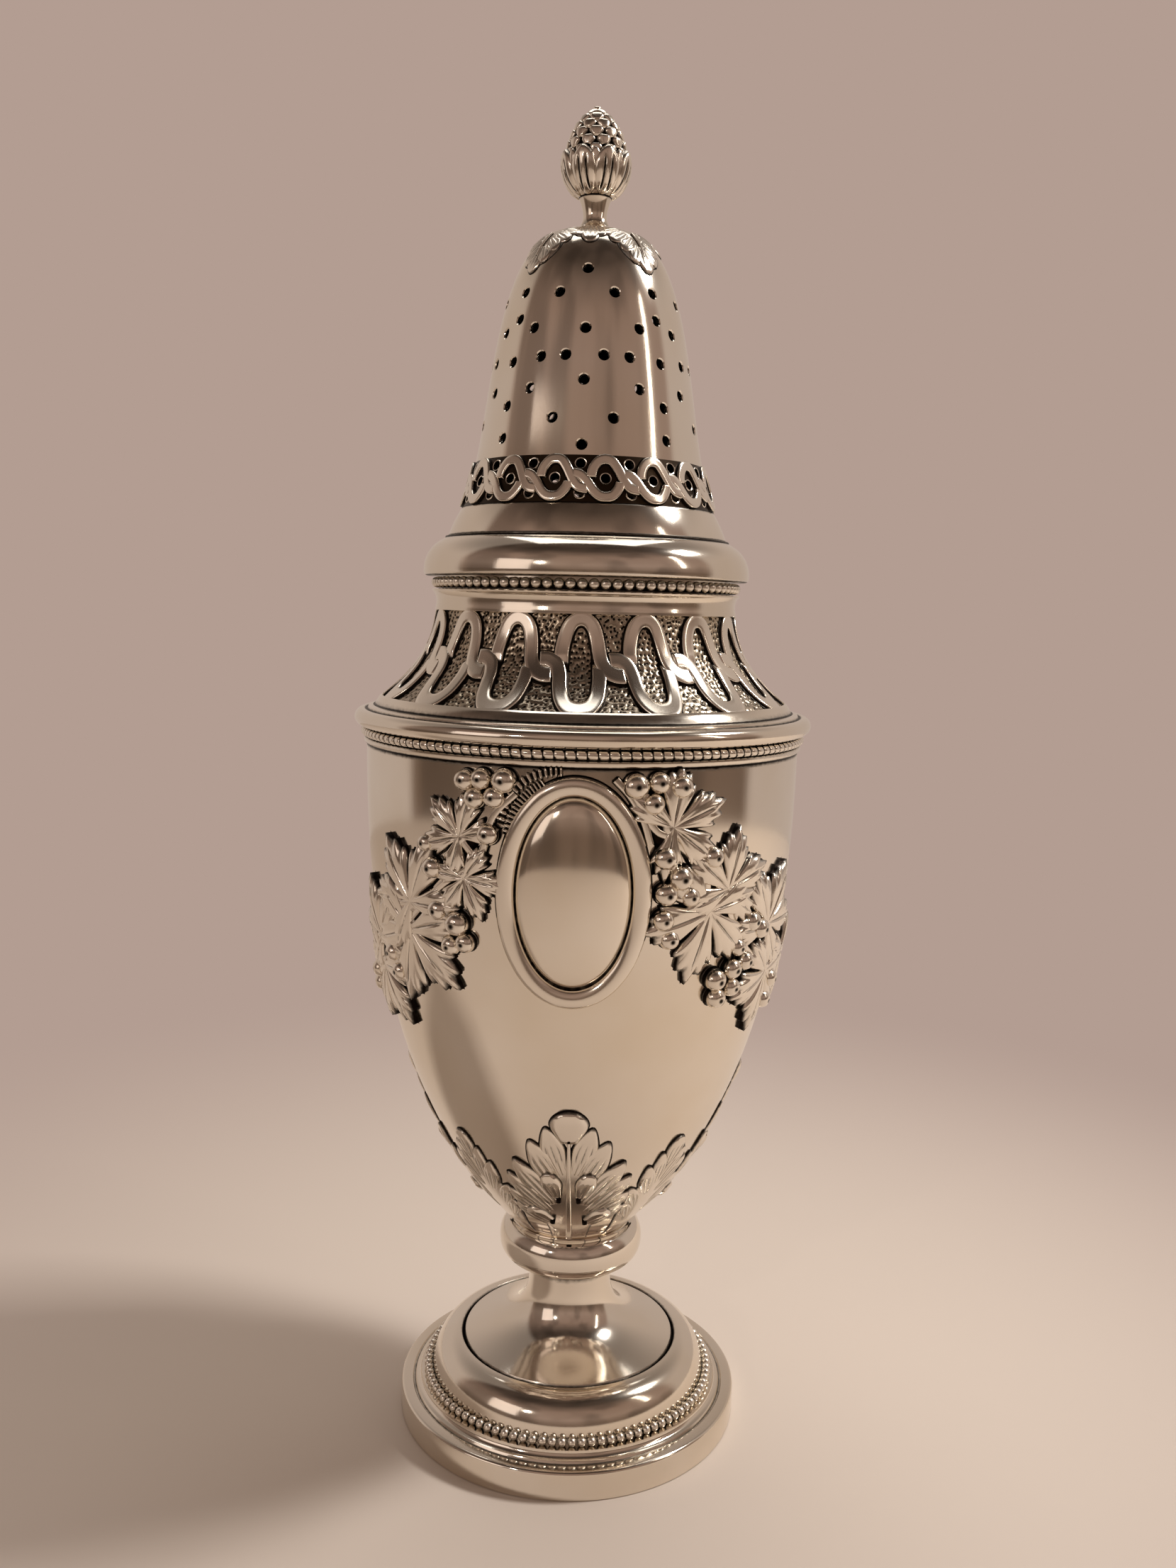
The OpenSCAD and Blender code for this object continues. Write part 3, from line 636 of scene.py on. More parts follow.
class Chaser:
    """Shapes leaves, lobes and grapes from a few blanks."""

    # Across a lobe's blank: where its edge lies and where its skirt begins, with the skirt's width
    edge_at, skirt_at, skirt_w = 0.86, 0.93, 0.26
    # A lobe's width at its base, what it gains by a share of its length, and where its end begins to close
    base_w, gain_w, gain_by, closing = 0.42, 0.46, 0.65, 0.5
    # How far a grape wraps round, how high its middle stands as a share of its radius, and its dot's depth
    grape_wrap, grape_rise, dot_depth = math.radians(100), 0.5, 0.16
    # Depth of a drilled eye
    eye_depth = 0.2
    # Lobes of a vine leaf: angle from the middle one, length, and half width as an angle
    vine_lobes = (
        (0.0, 1.02, 0.52),
        (1.04, 1.0, 0.52),
        (-1.04, 1.0, 0.52),
        (2.1, 0.88, 0.54),
        (-2.1, 0.88, 0.54),
    )
    # Teeth on half a lobe and their size, least radius between lobes, and half width of a vein
    teeth, tooth, least_r, vein_w = 2.5, 0.24, 0.38, 0.11

    def __init__(self) -> None:
        """Models the blanks."""
        self.small = disc(sides=20, rings=4)
        self.fine = disc(sides=144, rings=9)
        self.petal = strip(along=18, across=14)

    def lobe(self, surface: Surface, lobe: Lobe) -> Piece:
        """Chases one lobe.

        Args:
            surface: what it lies on.
            lobe: its place and size.
        Returns:
            The lobe.
        """
        aim = Aim(surface, lobe.base, lobe.tip)

        def near(t: Array) -> Array:
            """How far the closing end is reached, from 0 to 1."""
            return np.clip((t - self.closing) / (1 - self.closing), 0, 1)

        def half(t: Array) -> Array:
            """Half of its width along it."""
            # A round end and a pointed one, mixed by the lobe's point
            end = (1 - lobe.point) * np.sqrt(1 - near(t) ** 2.2) + lobe.point * (1 - near(t) ** 1.5)
            return lobe.width / 2 * (self.base_w + self.gain_w * step(0.0, self.gain_by, t)) * end

        def shaper(x: Array, y: Array) -> Laid:
            """A petal that is fluted from its base, with painted shade in its flutes and along its edge.

            Args:
                x, y: the flat blank.
            Returns:
                Places and darkness.
            """
            t = np.sin((x + 1) * np.pi / 4)
            c = np.clip(y / self.edge_at, -1, 1)
            bit = 0.001
            slope = (half(t + bit) - half(t - bit)) / (2 * bit * aim.length)
            skirt = self.skirt_w * (np.abs(y) > self.skirt_at)
            across = c * half(t) + np.sign(y) * skirt / np.hypot(1, slope)
            ahead = t * aim.length - skirt * slope / np.hypot(1, slope)
            rim = np.maximum(np.abs(c), near(t))
            # Three flutes, in the middle and halfway to each edge, from the base to past the middle
            flutes = np.exp(-(((np.abs(np.abs(c) - 0.25) - 0.25) / 0.08) ** 2))
            flutes = flutes * step(0.0, 0.2, t) * (1 - step(0.6, 0.85, t))
            # It rises from its rim to its middle line and from its base to its tip
            lift = (0.3 + 0.7 * np.sqrt(np.clip(1 - rim**3, 0, 1))) * (0.6 + 0.4 * t) - lobe.groove * flutes
            lift = np.where(skirt > 0, -0.04, lobe.lift * lift * step(-0.05, 0.12, t))
            # Painted shade in the flutes and along the rim, and a painted shadow line with patina on the
            # skirt
            dark = np.maximum(2.0 * lobe.groove * flutes, 0.6 * step(0.86, 1.0, rim))
            return aim.spread(ahead, across, lift), np.where(skirt > 0, 1.0, dark)

        return shaped(copied(self.petal, "lobe"), shaper)

    def fan(
        self, surface: Surface, middle: float, rows: Sequence, groove: float, point: float
    ) -> list[Piece]:
        """Chases lobes in pairs, one on each side of a midrib.

        Args:
            surface: what they lie on.
            middle: degrees of the midrib.
            rows: tip, start, width and lift of each pair, in degrees from the midrib and heights.
            groove: depth of the flutes.
            point: how pointed they are.
        Returns:
            The lobes.
        """
        lobes = []
        for side in (-1, 1):
            for (tip_x, tip_z), (base_x, base_z), width, lift in rows:
                base, tip = (middle + side * base_x, base_z), (middle + side * tip_x, tip_z)
                lobes.append(self.lobe(surface, Lobe(base, tip, width, lift, groove, point)))
        return lobes

    def grape(self, surface: Surface, place: Point, radius: float) -> Piece:
        """Chases one grape with a dot at its end.

        Args:
            surface: what it lies on.
            place: degrees and height.
            radius: its radius.
        Returns:
            The grape.
        """

        def shaper(x: Array, y: Array) -> Laid:
            """A ball sunk a little into the metal, with painted shade and patina round its foot.

            Args:
                x, y: the flat blank.
            Returns:
                Places and darkness.
            """
            on = Rings(x, y)
            bow = self.grape_wrap * on.inner
            dot = 1 - step(0.1, 0.24, on.r)
            # The wall goes down a little inside the ball, and the skirt reaches beyond it
            out = np.where(on.wall, 0.95 * radius, radius * np.sin(bow)) + (0.05 * radius + 0.32) * on.skirt
            lift = radius * (self.grape_rise + np.cos(bow)) - self.dot_depth * dot
            # Painted shade with patina in the dot at its end and round its edge
            dark = np.maximum(dot, 0.9 * step(0.78, 1.0, on.r)) - 0.5 * on.skirt
            places = surface.spread(place, on.way[0] * out, on.way[1] * out, np.where(on.wall, on.foot, lift))
            return places, dark

        return shaped(copied(self.small, "grape"), shaper)

    def eye(self, surface: Surface, place: Point, radius: float, lift: float) -> Piece:
        """Sinks a drilled eye, painted dark as shade with patina.

        Args:
            surface: what it lies on.
            place: degrees and height.
            radius: its radius.
            lift: level of the metal round it.
        Returns:
            The eye.
        """

        def shaper(x: Array, y: Array) -> Laid:
            """A shallow cup, painted fully dark as shade with patina.

            Args:
                x, y: the flat blank.
            Returns:
                Places and darkness.
            """
            on = Rings(x, y)
            level = np.where(on.wall, 0.0, lift - self.eye_depth * (1 - on.inner**2))
            return surface.spread(place, radius * on.x, radius * on.y, level), np.ones(len(x))

        return shaped(copied(self.small, "eye"), shaper)

    def vine_leaf(self, surface: Surface, stalk: Point, tip: Point, lift: float) -> Piece:
        """Chases a vine leaf with five toothed lobes and sunk veins.

        Args:
            surface: what it lies on.
            stalk: place where the stalk meets the blade.
            tip: place of the middle lobe's tip.
            lift: how far the blade stands off.
        Returns:
            The leaf.
        """
        aim = Aim(surface, stalk, tip)

        def shaper(x: Array, y: Array) -> Laid:
            """A blade whose edge follows the lobes and their teeth, cut by its veins.

            Args:
                x, y: the flat blank.
            Returns:
                Places and darkness.
            """
            on, a = Rings(x, y), np.arctan2(x, y)
            edge, apart, span = np.full(len(a), self.least_r), np.full(len(a), np.pi), np.full(len(a), 0.5)
            for middle, size, width in self.vine_lobes:
                off = np.abs((a - middle + np.pi) % (2 * np.pi) - np.pi)
                share = off / width
                tooth = self.tooth * (np.abs((share * self.teeth) % 1.0 - 0.5) - 0.25) * (share < 1.0)
                # Each lobe draws in to its sides and ends in a notch
                notch = 0.34 * np.clip(share, 0, 1.3) + 0.2 * step(0.86, 1.0, share)
                edge = np.maximum(edge, size * (1.0 - notch) + tooth)
                nearer = off < apart
                apart, span = np.where(nearer, off, apart), np.where(nearer, width, span)
            share = np.clip(apart / span, 0, 1)
            out = on.inner * edge * aim.length
            # A vein down each lobe, a cut behind each tooth and a fold between lobes
            aside = out * np.sin(np.minimum(apart, np.pi / 2))
            vein = np.exp(-((aside / self.vein_w) ** 2))
            vein = vein * step(0.04, 0.2, on.r) * (1 - step(0.66, 0.84, on.r))
            cuts = np.exp(-((((share * self.teeth) % 1.0 - 0.5) / 0.2) ** 2)) * (share < 0.95)
            cuts = cuts * step(0.72, 1.0, on.inner)
            fold = step(0.74, 1.0, share) * step(0.28, 0.5, on.inner)
            # The blade bows between its middle and its edge, and less between the lobes
            bow = 1 - 0.4 * on.inner**8 - 0.3 * (1 - on.inner) ** 2
            bow = bow * (0.94 - 0.24 * share**2 * on.inner)
            height = lift * (bow - 0.2 * vein - 0.14 * cuts - 0.36 * fold)
            height = np.where(on.wall, on.foot, np.maximum(height, 0.12))
            out = out + 0.44 * on.skirt
            # Painted shade with patina: folds are darkest, then veins and cuts, then the edge
            dark = np.maximum(0.7 * np.maximum(vein, cuts), 0.95 * step(0.3, 0.9, fold))
            dark = np.maximum(dark, 0.62 * step(0.9, 1.0, on.r))
            # The wall and skirt round the blade carry a painted shadow line with patina
            dark = np.where(on.wall, 1.0 - 0.45 * on.skirt, dark)
            return aim.spread(out * np.cos(a), out * np.sin(a), height), dark

        return shaped(copied(self.fine, "leaf"), shaper)

    def put_away(self) -> None:
        """Deletes the blanks."""
        for blank in (self.small, self.fine, self.petal):
            bpy.data.objects.remove(blank)


# Finishes


def linear(colour: str) -> tuple[float, float, float, float]:
    """Turns an sRGB hex colour to linear light.

    Args:
        colour: such as "#c0b0a0".
    Returns:
        Red, green, blue and 1.
    """
    parts = [int(colour[i : i + 2], 16) / 255 for i in (1, 3, 5)]
    r, g, b = (c / 12.92 if c <= 0.04045 else ((c + 0.055) / 1.055) ** 2.4 for c in parts)
    return r, g, b, 1.0


class Nodes:
    """Adds nodes to the tree of a material or a world."""

    def __init__(self, owner: bpy.types.Material | bpy.types.World) -> None:
        """Empties the owner's tree.

        Args:
            owner: the material or world.
        """
        owner.use_nodes = True
        self.tree = owner.node_tree
        self.tree.nodes.clear()

    def add(self, kind: str, output: str | int, inputs: dict | None = None, **settings: str) -> Socket:
        """Adds a node.

        Args:
            kind: Blender's name for the node, without ShaderNode.
            output: name or number of the output that is wanted.
            inputs: values of its inputs, or outputs that feed them, by name or number.
            settings: the node's own properties.
        Returns:
            That output.
        """
        node = self.tree.nodes.new("ShaderNode" + kind)
        for key, value in settings.items():
            setattr(node, key, value)
        for key, value in (inputs or {}).items():
            if isinstance(value, Socket):
                self.tree.links.new(value, node.inputs[key])
            else:
                node.inputs[key].default_value = value
        return node.outputs[output]

    def noise(self, place: Socket, scale: float, detail: float) -> Socket:
        """Soft noise at a place."""
        return self.add("TexNoise", "Fac", {"Vector": place, "Scale": scale, "Detail": detail})

    def maths(self, operation: str, *values: Socket | float) -> Socket:
        """One sum of values or outputs."""
        return self.add("Math", "Value", dict(enumerate(values)), operation=operation)

    def scaled(self, vector: Socket | tuple, share: Socket) -> Socket:
        """A colour made darker."""
        return self.add("VectorMath", "Vector", {0: vector, "Scale": share}, operation="SCALE")

    def mapped(self, value: Socket, span: Point, to: Point = (0.0, 1.0), kind: str = "LINEAR") -> Socket:
        """Maps one range of values to another.

        Args:
            value: what is mapped.
            span: the values that it lies between.
            to: the values that they become.
            kind: Blender's name for the way from one end to the other.
        Returns:
            The mapped value.
        """
        ends = {"From Min": span[0], "From Max": span[1], "To Min": to[0], "To Max": to[1]}
        return self.add("MapRange", "Result", {"Value": value, **ends}, interpolation_type=kind)

    def mixed(self, share: Socket, first: Socket | tuple, second: Socket | tuple) -> Socket:
        """Mixes two colours."""
        return self.add("Mix", 2, {0: share, 6: first, 7: second}, data_type="RGBA")

    def end(self, kind: str, shader: Socket) -> None:
        """Feeds a shader to the tree's end, of a Material or a World."""
        node = self.tree.nodes.new("ShaderNodeOutput" + kind)
        self.tree.links.new(shader, node.inputs["Surface"])


@dataclass(frozen=True)
class Silver:
    """Sterling silver with patina and painted shade in its recesses, polished where a cloth reaches."""

    name: str
    metal: str = "#ece5da"
    film: str = "#d6c5a8"
    # Near-black colour of the patina and painted shade
    oxide_and_shade: str = "#19130f"
    # The film's greatest share, size of its clouds, and noise between which it comes in
    film_share: float = 0.4
    film_mm: float = 22.0
    film_from: Point = (0.35, 0.7)
    # Roughness of clean metal, what a smudge adds to it and where, and what patina and painted shade add
    roughness: float = 0.09
    smudge: float = 0.05
    smudge_from: Point = (0.3, 0.75)
    oxide_rough: float = 0.3
    # Darkness between which patina and painted shade show, and the specks that break up their edge
    oxide_and_shade_from: Point = (0.2, 0.8)
    speck: float = 0.3
    speck_mm: float = 0.7
    # Wiping scratches run slanting, much longer than they are wide
    scratch_mm: float = 0.5
    scratch_depth_mm: float = 0.0035
    scratch_slant: Row = (0.4, 0.3, 0.9)
    scratch_stretch: Row = (1.0, 1.0, 0.06)

    def material(self) -> bpy.types.Material:
        """Builds the finish: warm metal, a thin yellow film in soft clouds, fine wiping scratches, and patina
        with painted shade.

        Returns:
            The material.
        """
        material = bpy.data.materials.new(self.name)
        nodes = Nodes(material)
        place = nodes.add("TexCoord", "Object")
        clouds = nodes.noise(place, 1 / (self.film_mm * MM), 3.0)
        film = nodes.mapped(clouds, self.film_from, (0.0, self.film_share))
        warm = nodes.mixed(film, linear(self.metal), linear(self.film))
        grain = nodes.noise(place, 1 / (self.speck_mm * MM), 2.0)
        specks = nodes.maths("MULTIPLY_ADD", grain, self.speck, -self.speck / 2)
        kept = nodes.add("Attribute", "Fac", attribute_name="patina_and_shade")
        oxide_and_shade = nodes.mapped(nodes.maths("ADD", kept, specks), self.oxide_and_shade_from, kind="SMOOTHSTEP")
        smudged = nodes.mapped(clouds, self.smudge_from, (self.roughness, self.roughness + self.smudge))
        worn = {"Vector": place, "Rotation": self.scratch_slant, "Scale": self.scratch_stretch}
        lines = nodes.noise(nodes.add("Mapping", "Vector", worn), 1 / (self.scratch_mm * MM), 4.0)
        bump = {"Height": lines, "Strength": 1.0, "Distance": self.scratch_depth_mm * MM}
        inputs = {
            "Metallic": 1.0,
            "Base Color": nodes.mixed(oxide_and_shade, warm, linear(self.oxide_and_shade)),
            "Roughness": nodes.maths("MULTIPLY_ADD", oxide_and_shade, self.oxide_rough, smudged),
            "Normal": nodes.add("Bump", "Normal", bump),
        }
        nodes.end("Material", nodes.add("BsdfPrincipled", "BSDF", inputs))
        return material


POLISHED = Silver("polished_sterling_silver")
CHASED = Silver("chased_sterling_silver", film_share=0.2, roughness=0.15)
BEADED = Silver("beaded_sterling_silver", film_share=0.2, roughness=0.28)
STIPPLED = Silver("stippled_oxidised_silver", metal="#a99e90", roughness=0.24)
# Near-black ground of the pierced band: patina with painted shade under its straps
SHADED_RECESS = Silver("oxidised_and_shaded_recess", metal="#33291f", film="#201812", roughness=0.3)
DULL = Silver("unpolished_silver", metal="#cfc3b2", roughness=0.3)


class Polisher:
    """Gives each piece its finish and its body."""

    def __init__(self) -> None:
        """Starts with no material made."""
        self.made: dict[str, bpy.types.Material] = {}

    def material(self, finish: Silver) -> bpy.types.Material:
        """Makes the finish's material once.

        Args:
            finish: the finish.
        Returns:
            The material.
        """
        if finish.name not in self.made:
            self.made[finish.name] = finish.material()
        return self.made[finish.name]

    def dress(self, piece: Piece, body: Body, slot: Slot, finish: Silver, *nodes: str) -> None:
        """Finishes a new piece.

        Args:
            piece: the piece.
            body: what it moves with.
            slot: its slot in the record; not used.
            finish: its finish.
            nodes: the CAD nodes that it stands for.
        """
        piece.data.materials.clear()
        piece.data.materials.append(self.material(finish))
        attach(piece, body.value)
        if nodes:
            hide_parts(*nodes)
        LOG.info("%s: %d faces, on %s", piece.name, len(piece.data.polygons), body.value)

    def dress_node(self, node: str, finish: Silver) -> None:
        """Gives a CAD node that stays its finish.

        Args:
            node: its name.
            finish: its finish.
        """
        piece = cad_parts[node]
        piece.data.materials.clear()
        piece.data.materials.append(self.material(finish))
        LOG.info("%s: kept as it is", node)


# The caster, from the table upwards


@dataclass
class SubAssembly:
    """Base of the sub-assemblies, each of which rides on one body."""

    chaser: Chaser
    polisher: Polisher
    body: ClassVar[Body] = Body.VASE

    def dress(self, piece: Piece, slot: Slot, finish: Silver, *nodes: str) -> None:
        """Finishes a new piece of this sub-assembly."""
        self.polisher.dress(piece, self.body, slot, finish, *nodes)


@dataclass
class Foot(SubAssembly):
    """Plinth, bead wire, spun foot and knop."""

    plinth_h: float = 4.5
    plinth_wall: float = 1.6
    dome_r: float = 22.0
    wall: float = 1.2
    groove_r: float = 17.3
    groove_z: float = 11.8
    groove_d: float = 0.5
    stem_r: float = 6.5
    stem_z: float = 22.0
    bead_d: float = 1.35
    bead_count: int = 97
    bead_oxide_and_shade: float = 0.45
    knop_r: float = 11.4
    knop_seat_r: float = 9.4

    def build(self) -> None:
        """Turns and dresses the pieces of the foot."""
        self.plinth()
        self.dome()
        self.knop()
        shelf, bead_r = levels("foot_plinth")[1], self.dome_r + self.bead_d / 2
        beads = bead_ring("foot_beads", self.bead_d, bead_r, shelf, self.bead_count, self.bead_oxide_and_shade)
        self.dress(beads, Slot.BEADED, BEADED, "foot_bead_wire")

    def plinth(self) -> None:
        """Turns the plinth band with its flat, step, cove and shelf."""
        r, shelf = reach("foot_plinth"), levels("foot_plinth")[1]
        top, inside = self.plinth_h, r - self.plinth_wall
        # Flat with rounded edges
        profile = [(inside, 0.0), (r - 0.3, 0.0), (r - 0.05, 0.12), (r, 0.4), (r, 1.2), (r, top - 1.2)]
        profile += arc((r - 0.5, top - 0.5), 0.5, 0, 90, 6)
        # Turned line, then the cove up to the shelf
        profile += [(r - 1.8, top), (r - 1.95, top - 0.15), (r - 2.2, top - 0.15), (r - 2.3, top + 0.1)]
        low, high = (r - 2.4, top + 0.25), (r - 3.3, shelf)
        profile += bezier(low, (r - 3.0, top + 0.3), (r - 3.25, shelf - 0.6), high, 6)
        # Shelf and inside
        profile += [(self.dome_r - self.wall, shelf), (self.dome_r - self.wall, shelf - self.wall)]
        profile += [(inside - 1.4, shelf - self.wall), (inside, top - 1.2)]
        # Painted shade with patina in the turned line and on the shelf beside the beads
        dark = [(r - 2.1, top - 0.15, 0.15), (r - 3.55, shelf, 0.2)]
        self.dress(lathe("plinth_band", profile, dark), Slot.POLISHED, POLISHED, "foot_plinth")

    def dome(self) -> None:
        """Turns the foot with its groove and the trumpet up to the stem."""
        shelf, top = levels("foot_dome")
        g, gz, d = self.groove_r, self.groove_z, self.groove_d
        rise = self.stem_z - gz
        # Swelling foot up to the groove
        outside = bezier((self.dome_r, shelf), (self.dome_r, shelf + 3.3), (g + 3.05, gz), (g + 0.1, gz), 26)
        # Turned groove, then the trumpet
        outside += [(g - 0.02, gz - 0.12), (g - d / 2, gz - d), (g - d + 0.02, gz - 0.1)]
        outside += bezier(
            (g - d - 0.06, gz + 0.05),
            (0.35 * g + 0.65 * self.stem_r, gz + 0.2 * rise),
            (self.stem_r, gz + 0.36 * rise),
            (self.stem_r, self.stem_z),
            36,
        )
        outside += [(self.stem_r, top)]
        # Painted shade with patina in the groove, behind the beads and under the knop
        dark = [(g - d / 2, gz - d, 0.6), (self.dome_r, shelf, 0.2), (self.stem_r, top, 0.3)]
        piece = lathe("spun_foot", shell(outside, self.wall), dark)
        self.dress(piece, Slot.POLISHED, POLISHED, "foot_dome")

    def knop(self) -> None:
        """Turns the cushion-shaped knop."""
        low, high = levels("stem_knop")
        h, r, seat = high - low, self.knop_r, self.knop_seat_r
        swell, waist = (r, low + 0.25 * h), (r, low + 0.55 * h)
        rim = (seat + 0.2, high - 0.2)
        # Swells from the stem to its greatest radius, then draws in to the bowl's seat
        profile = [(0.0, low)]
        profile += bezier((self.stem_r, low), (0.9 * r, low + 0.08 * h), swell, waist, 16)
        profile += bezier((r, low + 0.58 * h), (r, low + 0.8 * h), (seat + 0.9, high - 0.25), rim, 14)
        profile += [(seat, high), (0.0, high)]
        # Painted shade with patina where the knop meets the stem
        dark = [(self.stem_r + 0.2, low, 0.3)]
        self.dress(lathe("knop", profile, dark), Slot.POLISHED, POLISHED, "stem_knop")


def bead_ring(name: str, diameter: float, radius: float, low: float, count: int, oxide_and_shade: float) -> Piece:
    """Makes a beaded wire: one bead copied round the axis, on a strip.

    Args:
        name: the piece's name.
        diameter: a bead's diameter.
        radius: radius of the ring through the beads' middles.
        low: level of the beads' underside.
        count: number of beads.
        oxide_and_shade: how dark the strip behind them is painted, as shade with patina.
    Returns:
        The wire.
    """
    fresh()
    bpy.ops.mesh.primitive_uv_sphere_add(segments=12, ring_count=8, radius=diameter / 2 * MM)
    bead = bpy.context.object
    places = corners(bead)
    side, out, up = (places * (1, -1, 1) / (diameter / 2 * MM)).T
    # Painted shade on the faces that turn inwards and down, and in the crevices between beads
    paint_patina_and_shade(bead, np.maximum(1 - step(-0.1, 0.4, np.maximum(out, up)), step(0.75, 1.0, np.abs(side))))
    move(bead, places + MM * np.array([0.0, -radius, low + diameter / 2]))
    pick(bead)
    bpy.ops.object.shade_smooth()
    ring_of(bead, count)
    # The strip stands behind the beads' middles and reaches a little over half their height
    high, behind, front = low + 0.55 * diameter, radius - 0.45 * diameter, radius - 0.1 * diameter
    core = lathe("core", [(behind, low), (front, low), (front, high), (behind, high)])
    # The strip behind the beads is painted dark, as shade with patina
    paint_patina_and_shade(core, np.full(len(core.data.vertices), oxide_and_shade))
    return joined([bead, core], name)


@dataclass
class Vase(SubAssembly):
    """Bowl with the surface that its ornament lies on."""

    base_r: float = 9.0
    top_r: float = 32.75
    wall: float = 1.0
    flare: Point = (20.0, 20.6)
    belly: float = 28.0
    surface: Surface = field(init=False)

    def __post_init__(self) -> None:
        """Works out the outside."""
        low, high = levels("bowl")
        self.outside = bezier(
            (self.base_r, low),
            (self.base_r + self.flare[0], low + self.flare[1]),
            (self.top_r, high - self.belly),
            (self.top_r, high),
            96,
        )
        self.surface = Surface(self.outside)

    def build(self) -> None:
        """Turns and dresses the bowl."""
        low, high = levels("bowl")
        wall = shell(self.outside, self.wall)
        inside = [p for p in wall[len(self.outside) :] if p[1] > low + self.wall + 0.4]
        floor = [(self.base_r - self.wall, low + self.wall), (0.0, low + self.wall)]
        profile = [(0.0, low)] + self.outside + inside + floor
        # Painted shade with patina under the rim
        dark = [(self.top_r, high, 0.4)]
        self.dress(lathe("vase_bowl", profile, dark), Slot.POLISHED, POLISHED, "bowl")


@dataclass(frozen=True)
class LeafPlan:
    """Plan of an acanthus leaf on the bowl, in degrees from the front and heights."""

    turn: float
    # Tip, start, width and lift of each lobe on one side of the midrib, in degrees from the midrib
    fan: Sequence
    tip: Lobe
    # Where the midrib starts and ends and how far it stands off, 0 for none
    rib: Point
    rib_lift: float
    blade_w: float


@dataclass
class Calyx(SubAssembly):
    """Acanthus leaves that the bowl stands in."""

    vase: Vase
    count: int = 4
    rib_w: float = 0.8
    rib_skirt: float = 0.14
    rib_taper: Point = (1.2, 0.55)
    rib_steps: int = 30
    blade_lift: float = 0.45
    lobe_groove: float = 0.28
    lobe_point: float = 0.6
    large: LeafPlan = LeafPlan(
        turn=0.0,
        fan=(
            ((31.0, 39.9), (12.0, 35.6), 3.3, 0.55),
            ((32.0, 42.8), (10.0, 37.0), 3.7, 0.6),
            ((8.5, 55.8), (2.0, 46.0), 4.6, 0.6),
            ((15.3, 53.2), (3.0, 43.6), 4.9, 0.65),
            ((29.0, 46.3), (8.0, 38.6), 4.1, 0.75),
            ((23.8, 49.3), (5.5, 40.4), 4.7, 0.85),
        ),
        tip=Lobe((0.0, 53.0), (0.0, 58.7), 6.4, 1.1, 0.0),
        rib=(33.0, 53.8),
        rib_lift=0.95,
        blade_w=12.5,
    )
    small: LeafPlan = LeafPlan(
        turn=45.0,
        fan=(
            ((15.4, 40.0), (5.6, 36.0), 3.0, 0.55),
            ((16.4, 43.2), (4.6, 38.0), 3.3, 0.6),
            ((11.4, 47.2), (2.4, 40.6), 3.7, 0.7),
            ((6.4, 49.4), (1.4, 42.4), 3.3, 0.65),
        ),
        tip=Lobe((45.0, 46.4), (45.0, 51.8), 4.0, 0.75),
        rib=(33.0, 48.5),
        rib_lift=0.0,
        blade_w=10.0,
    )
    # Lobes of the large leaf that curl over, as in its fan, and the depth of their flutes
    curls: Sequence = (((8.8, 47.6), (4.9, 42.4), 3.7, 1.45), ((22.5, 39.7), (9.0, 36.6), 3.4, 1.2))
    curl_groove: float = 0.1
    # Drilled eyes beside its midrib, as degrees, height and radius, and the level of the metal round them
    eyes: Section = ((4.6, 42.3, 0.36), (9.4, 37.2, 0.36))
    eye_lift: float = 0.95

    def build(self) -> None:
        """Chases and dresses the large and the small leaves."""
        surface = self.vase.surface
        parts = [self.leaf(self.large)]
        parts += self.chaser.fan(surface, self.large.turn, self.curls, self.curl_groove, 0.0)
        for side in (-1, 1):
            parts += [self.chaser.eye(surface, (side * x, z), r, self.eye_lift) for x, z, r in self.eyes]
        for size, leaf in (("large", joined(parts, "leaf")), ("small", self.leaf(self.small))):
            ring_of(leaf, self.count).name = f"{size}_acanthus"
            self.dress(leaf, Slot.CHASED, CHASED, f"calyx_{size}_leaves")

    def leaf(self, plan: LeafPlan) -> Piece:
        """Chases one leaf from its lobes, blade, tip and midrib.

        Args:
            plan: where everything lies.
        Returns:
            The leaf.
        """
        surface, (low, high) = self.vase.surface, plan.rib
        parts = self.chaser.fan(surface, plan.turn, plan.fan, self.lobe_groove, self.lobe_point)
        # The blade under the lobes starts below the midrib and stops short of its end
        blade = Lobe((plan.turn, low - 1.2), (plan.turn, high - 3.0), plan.blade_w, self.blade_lift, 0.0)
        parts += [self.chaser.lobe(surface, blade), self.chaser.lobe(surface, plan.tip)]
        if plan.rib_lift:
            middle = flowing([(plan.turn, z) for z in np.linspace(low, high, 5)], self.rib_steps)
            section = strap_section(self.rib_w, plan.rib_lift, self.rib_skirt)
            tapering = np.linspace(*self.rib_taper, self.rib_steps)
            parts.append(swept("rib", surface, middle, section, swell=tapering))
        return joined(parts, "leaf")


